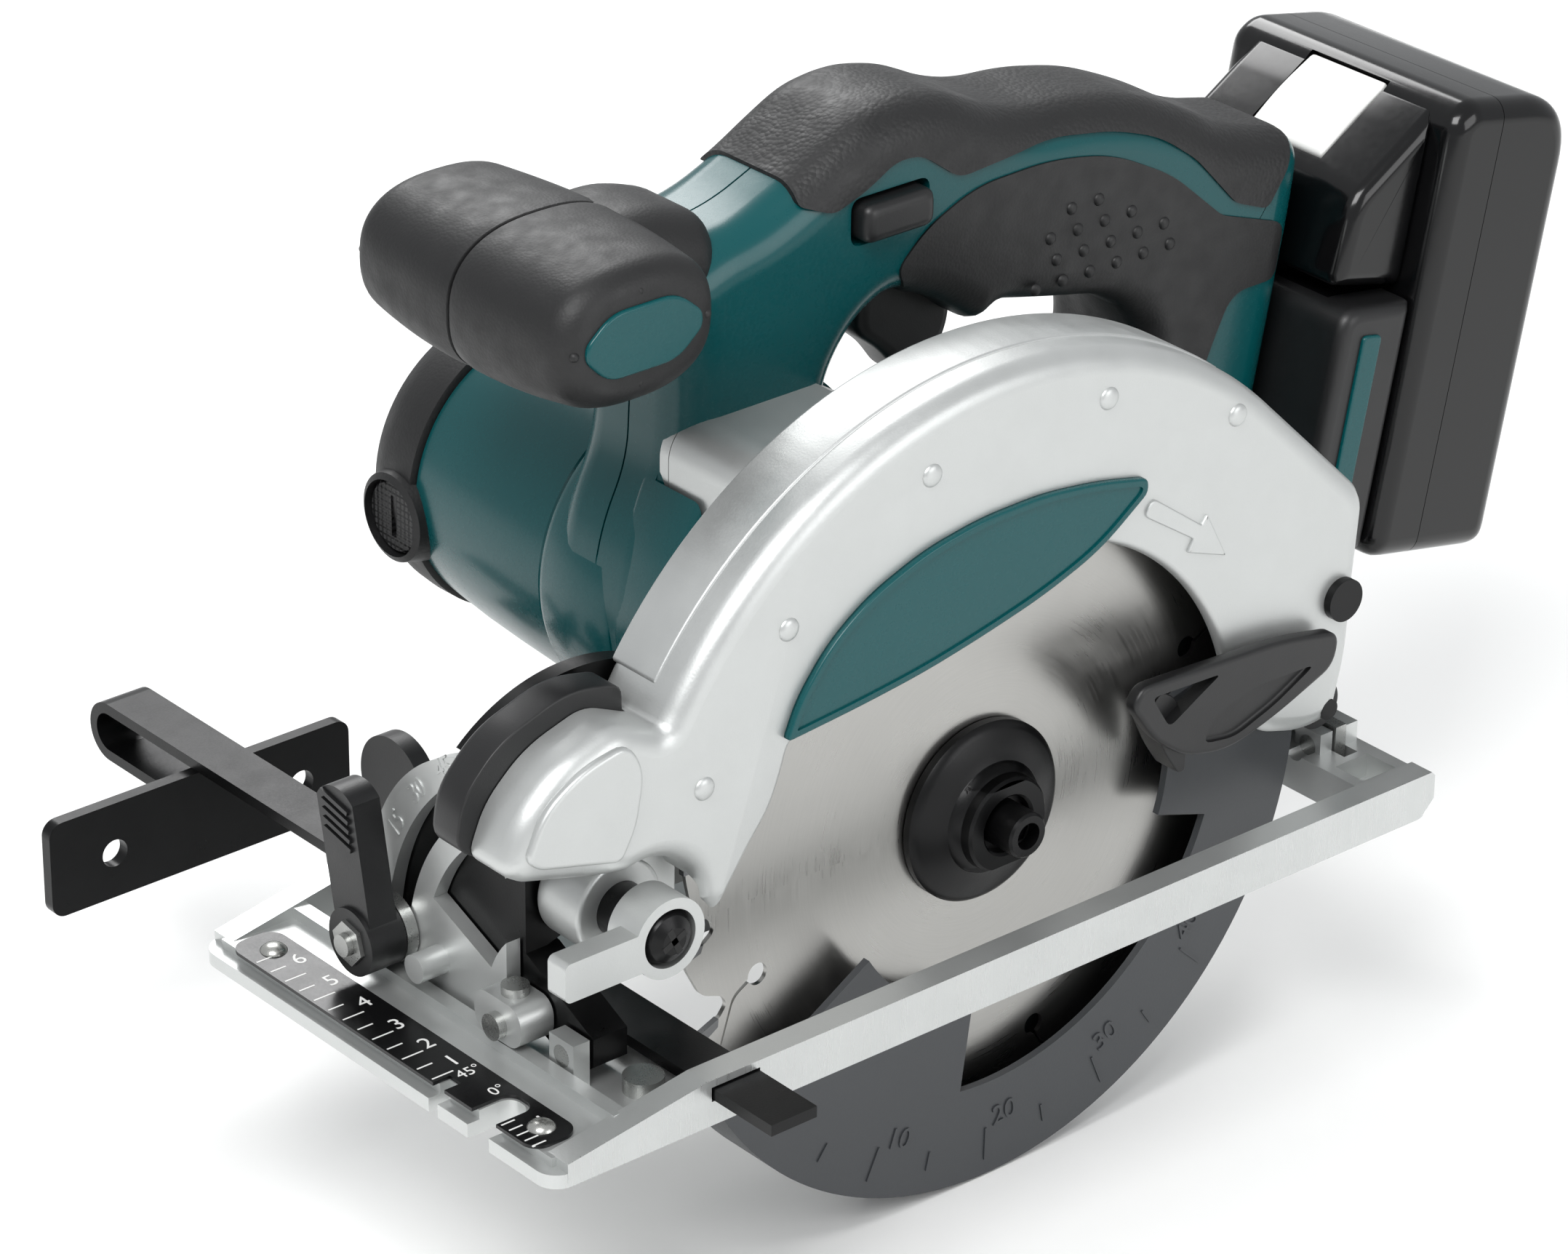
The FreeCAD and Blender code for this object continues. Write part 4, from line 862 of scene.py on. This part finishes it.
def marks(name, items, across, up, out, material, rise, body, slot):
    """Raised marks on a flat face. Each item is (text or stroke size, height, position, turn):
    its flat shape is laid along the across and up directions and lifted along out."""
    across, up, out = (np.array(v, float) for v in (across, up, out))
    points, faces = [], []
    for shape, height, place, degrees in items:
        if isinstance(shape, str):
            flat, polygons = lettering(shape, height)
        else:
            w, h = shape[0] / 2, shape[1] / 2
            flat = np.array([(-w, -h), (w, -h), (w, h), (-w, h)])
            polygons = [(0, 1, 2, 3)]
        t = math.radians(degrees)
        spun = np.stack((flat[:, 0] * math.cos(t) - flat[:, 1] * math.sin(t),
                         flat[:, 0] * math.sin(t) + flat[:, 1] * math.cos(t)), axis=1)
        low = np.array(place) + spun[:, :1] * across + spun[:, 1:] * up
        first, count = len(points), len(low)
        points += (low + out * rise).tolist() + (low - out * 0.2).tolist()
        edges = {}
        for polygon in polygons:
            faces.append(tuple(first + at for at in polygon))
            for a, b in zip(polygon, polygon[1:] + polygon[:1]):
                edges[(a, b)] = edges.get((a, b), 0) + 1
        for a, b in edges:
            if (b, a) not in edges:
                faces.append((first + a, first + a + count, first + b + count, first + b))
    fit(mesh_object(name, points, faces, material, 30), body, slot)


scale_items = []
for step, degrees in enumerate(range(233, 330, 12)):
    x, z = polar(80.5, degrees)
    length = 8 if step % 2 else 4.5
    scale_items.append(((length, 0.5), 0, (x, -7.7, z), degrees))
for text, degrees in (("10", 251), ("20", 275), ("30", 299), ("40", 323)):
    x, z = polar(74.5, degrees - 2)
    scale_items.append((text, 5.2, (x, -7.7, z), degrees - 270))
marks("guard_depth_scale", scale_items, (1, 0, 0), (0, 0, 1), (0, -1, 0), grey, 0.35, "guard",
      "grey_guard")

# Scale plate ------------------------------------------------------------------------------------
# A stamped aluminium strip anodised black, with a cutting-width scale printed in white, held by
# two domed rivets. Figures read from the front of the saw.
anodised = surface("black_anodised_strip", "#101011", 0.22, 0.3, fine=0.6, depth=0.006,
                   spread=0.05)
dress("scale_plate", anodised, 0.25)
ink = surface("white_printed_ink", "#D8D8D6", 0.5, fine=0.4, depth=0.004)
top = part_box("scale_plate")[1][2] / MM
ticks = []
for step in range(13):
    y = 9.5 + 5.08 * step
    long = step % 2 == 0
    ticks.append(((5.4 if long else 3.9, 0.4), 0, (-138.9 + (2.7 if long else 1.95), y, top), 0))
for step in range(5):
    ticks.append(((3.4, 0.4), 0, (-137.2, -13.5 - 2.54 * step, top), 0))
for text, y in (("6", 66), ("5", 54.5), ("4", 43), ("3", 31.5), ("2", 21.5), ("1", 12.8),
                ("45°", 7.2), ("0°", -2.2), ("1", -17.5)):
    ticks.append((text, 4.4 if len(text) == 1 else 3.2, (-131.2, y, top), 0))
marks("scale_print", ticks, (1, 0, 0), (0, 1, 0), (0, 0, 1), ink, 0.04, "base", "scale_black")
for index, y in enumerate((-19, 72.5)):
    rivet = turned("scale_rivet_%d" % (index + 1),
                   [(0, 7.7), (1.2, 7.6), (2.3, 7.1), (2.9, 6.5), (3, 6.2), (0, 6.2)], (-133, y),
                   steel, 40, 38, axis="Z")
    fit(rivet, "base", "bright_steel", *([] if index else ["scale_rivets"]))

# Bevel quadrant figures, levers and small hardware ---------------------------------------------
# Angle figures are cast proud of the quadrant. Screws and nuts are zinc-plated or blackened
# steel; the bevel lever is ribbed nylon on a steel nut.
arc_marks = []
face_x = -116.0
arc_y, arc_z, arc_radius = -5, 10, 63.5
for text, degrees in (("0", 16), ("15", 28), ("30", 40), ("45", 52), ("50", 63)):
    t = math.radians(degrees)
    arc_marks.append((text, 4.6, (face_x, arc_y + arc_radius * math.cos(t),
                                  arc_z + arc_radius * math.sin(t)), 90 - degrees))
marks("quadrant_figures", arc_marks, (0, -1, 0), (0, 0, 1), (-1, 0, 0), cast_silver, 0.25, "base",
      "cast_silver")
zinc = surface("zinc_plated_steel", "#A9AAA8", 0.3, 0.9, fine=0.4, depth=0.02, spread=0.08)
for name, width in (("set_screws", 0.3), ("bevel_pins", 0.2), ("bevel_bolt", 0.3),
                    ("lever_nut", 0.4), ("depth_guide", 0.3)):
    dress(name, zinc, width)
for name, width in (("guard_screws", 0.8), ("pivot_screw", 0.3), ("tilt_bracket", 0.8),
                    ("guide_bar", 0.3), ("guide_fence", 0.5)):
    dress(name, black_steel, width)
dress("thumb_screw", nylon, 1.0)
dress("bevel_lever", nylon, 1.2)
dress("rubber_stopper", rubber, 0.8)

ribs = []
for index in range(5):
    z = 47.0 - 2.1 * index
    ribs.append(((9.5, 1.0), 0, (-127.5, 56.3 - 0.25 * index, z), 12))
marks("bevel_lever_ribs", ribs, (0, 1, 0), (0, 0, 1), (-1, 0, 0), nylon, 0.7, "bevel_handle",
      "black_plastic")

# Socket and cross recesses that show from the front. The pivot screw's cross is drawn as near-black
# raised strokes on its head: painted shade standing in for the shade inside the recess.
cross_recess_painted_shade = surface("painted_shade_cross_recess", "#050505", 0.6, fine=0.4, depth=0.01)
cross = [((6.4, 1.5), 0, (PIVOT[0], -19.8, PIVOT[1]), degrees) for degrees in (25, 115)]
marks("pivot_screw_cross_painted_shade", cross, (1, 0, 0), (0, 0, 1), (0, -1, 0), cross_recess_painted_shade, 0.06, "carriage",
      "black_steel")

# Setting ----------------------------------------------------------------------------------------
# Camera in front and to the left, a plain pale floor at the guard's lowest point, and three
# large soft lights: one high on the left, a weaker one in front, and a strip behind.
scene = bpy.context.scene
camera = bpy.data.objects.new("camera", bpy.data.cameras.new("camera"))
camera.data.sensor_width = 36
camera.data.lens = 139.31
camera.data.clip_end = 50
azimuth, elevation, roll = (math.radians(v) for v in (40.41, 27.01, 0.57))
forward = Vector((math.cos(elevation) * math.sin(azimuth),
                  math.cos(elevation) * math.cos(azimuth), -math.sin(elevation)))
right = Vector((math.cos(azimuth), -math.sin(azimuth), 0))
up = right.cross(forward)
right, up = (right * math.cos(roll) + up * math.sin(roll),
             up * math.cos(roll) - right * math.sin(roll))
turn = Matrix((right, up, -forward)).transposed().to_4x4()
camera.matrix_world = Matrix.Translation((-0.7712, -0.8423, 0.6499)) @ turn
scene.collection.objects.link(camera)
scene.camera = camera

floor_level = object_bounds()[0][2]
side_points, half_side = 25, 6
span = np.linspace(-half_side, half_side, side_points)
grid = np.stack(np.meshgrid(span, span), axis=2).reshape(-1, 2) * 1000
floor_faces = [(at, at + 1, at + side_points + 1, at + side_points)
               for row in range(side_points - 1)
               for at in range(row * side_points, (row + 1) * side_points - 1)]
paper = surface("pale_studio_floor", "#F4F4F3", 0.7, fine=3, depth=0.005, tint=0.004)
floor = mesh_object("floor", np.column_stack((grid, np.full(len(grid), floor_level / MM - 0.5))),
                    floor_faces, paper)

world = bpy.data.worlds.new("studio")
world.use_nodes = True
world.node_tree.nodes["Background"].inputs[0].default_value = srgb("#F2F4F6")
world.node_tree.nodes["Background"].inputs[1].default_value = 0.64
scene.world = world
for name, place, size, power in (("key_softbox", (-0.9, -0.5, 1.5), 0.9, 25),
                                 ("fill_softbox", (0.5, -1.6, 0.7), 1.0, 9),
                                 ("rim_softbox", (0.6, 1.3, 1.2), 0.8, 15)):
    lamp = bpy.data.lights.new(name, "AREA")
    lamp.size = size
    lamp.energy = power
    holder = bpy.data.objects.new(name, lamp)
    holder.location = place
    aim = Vector((0, 0.03, 0.05)) - Vector(place)
    holder.rotation_euler = aim.to_track_quat("-Z", "Y").to_euler()
    scene.collection.objects.link(holder)
scene.view_settings.view_transform = "Standard"
scene.view_settings.look = "None"
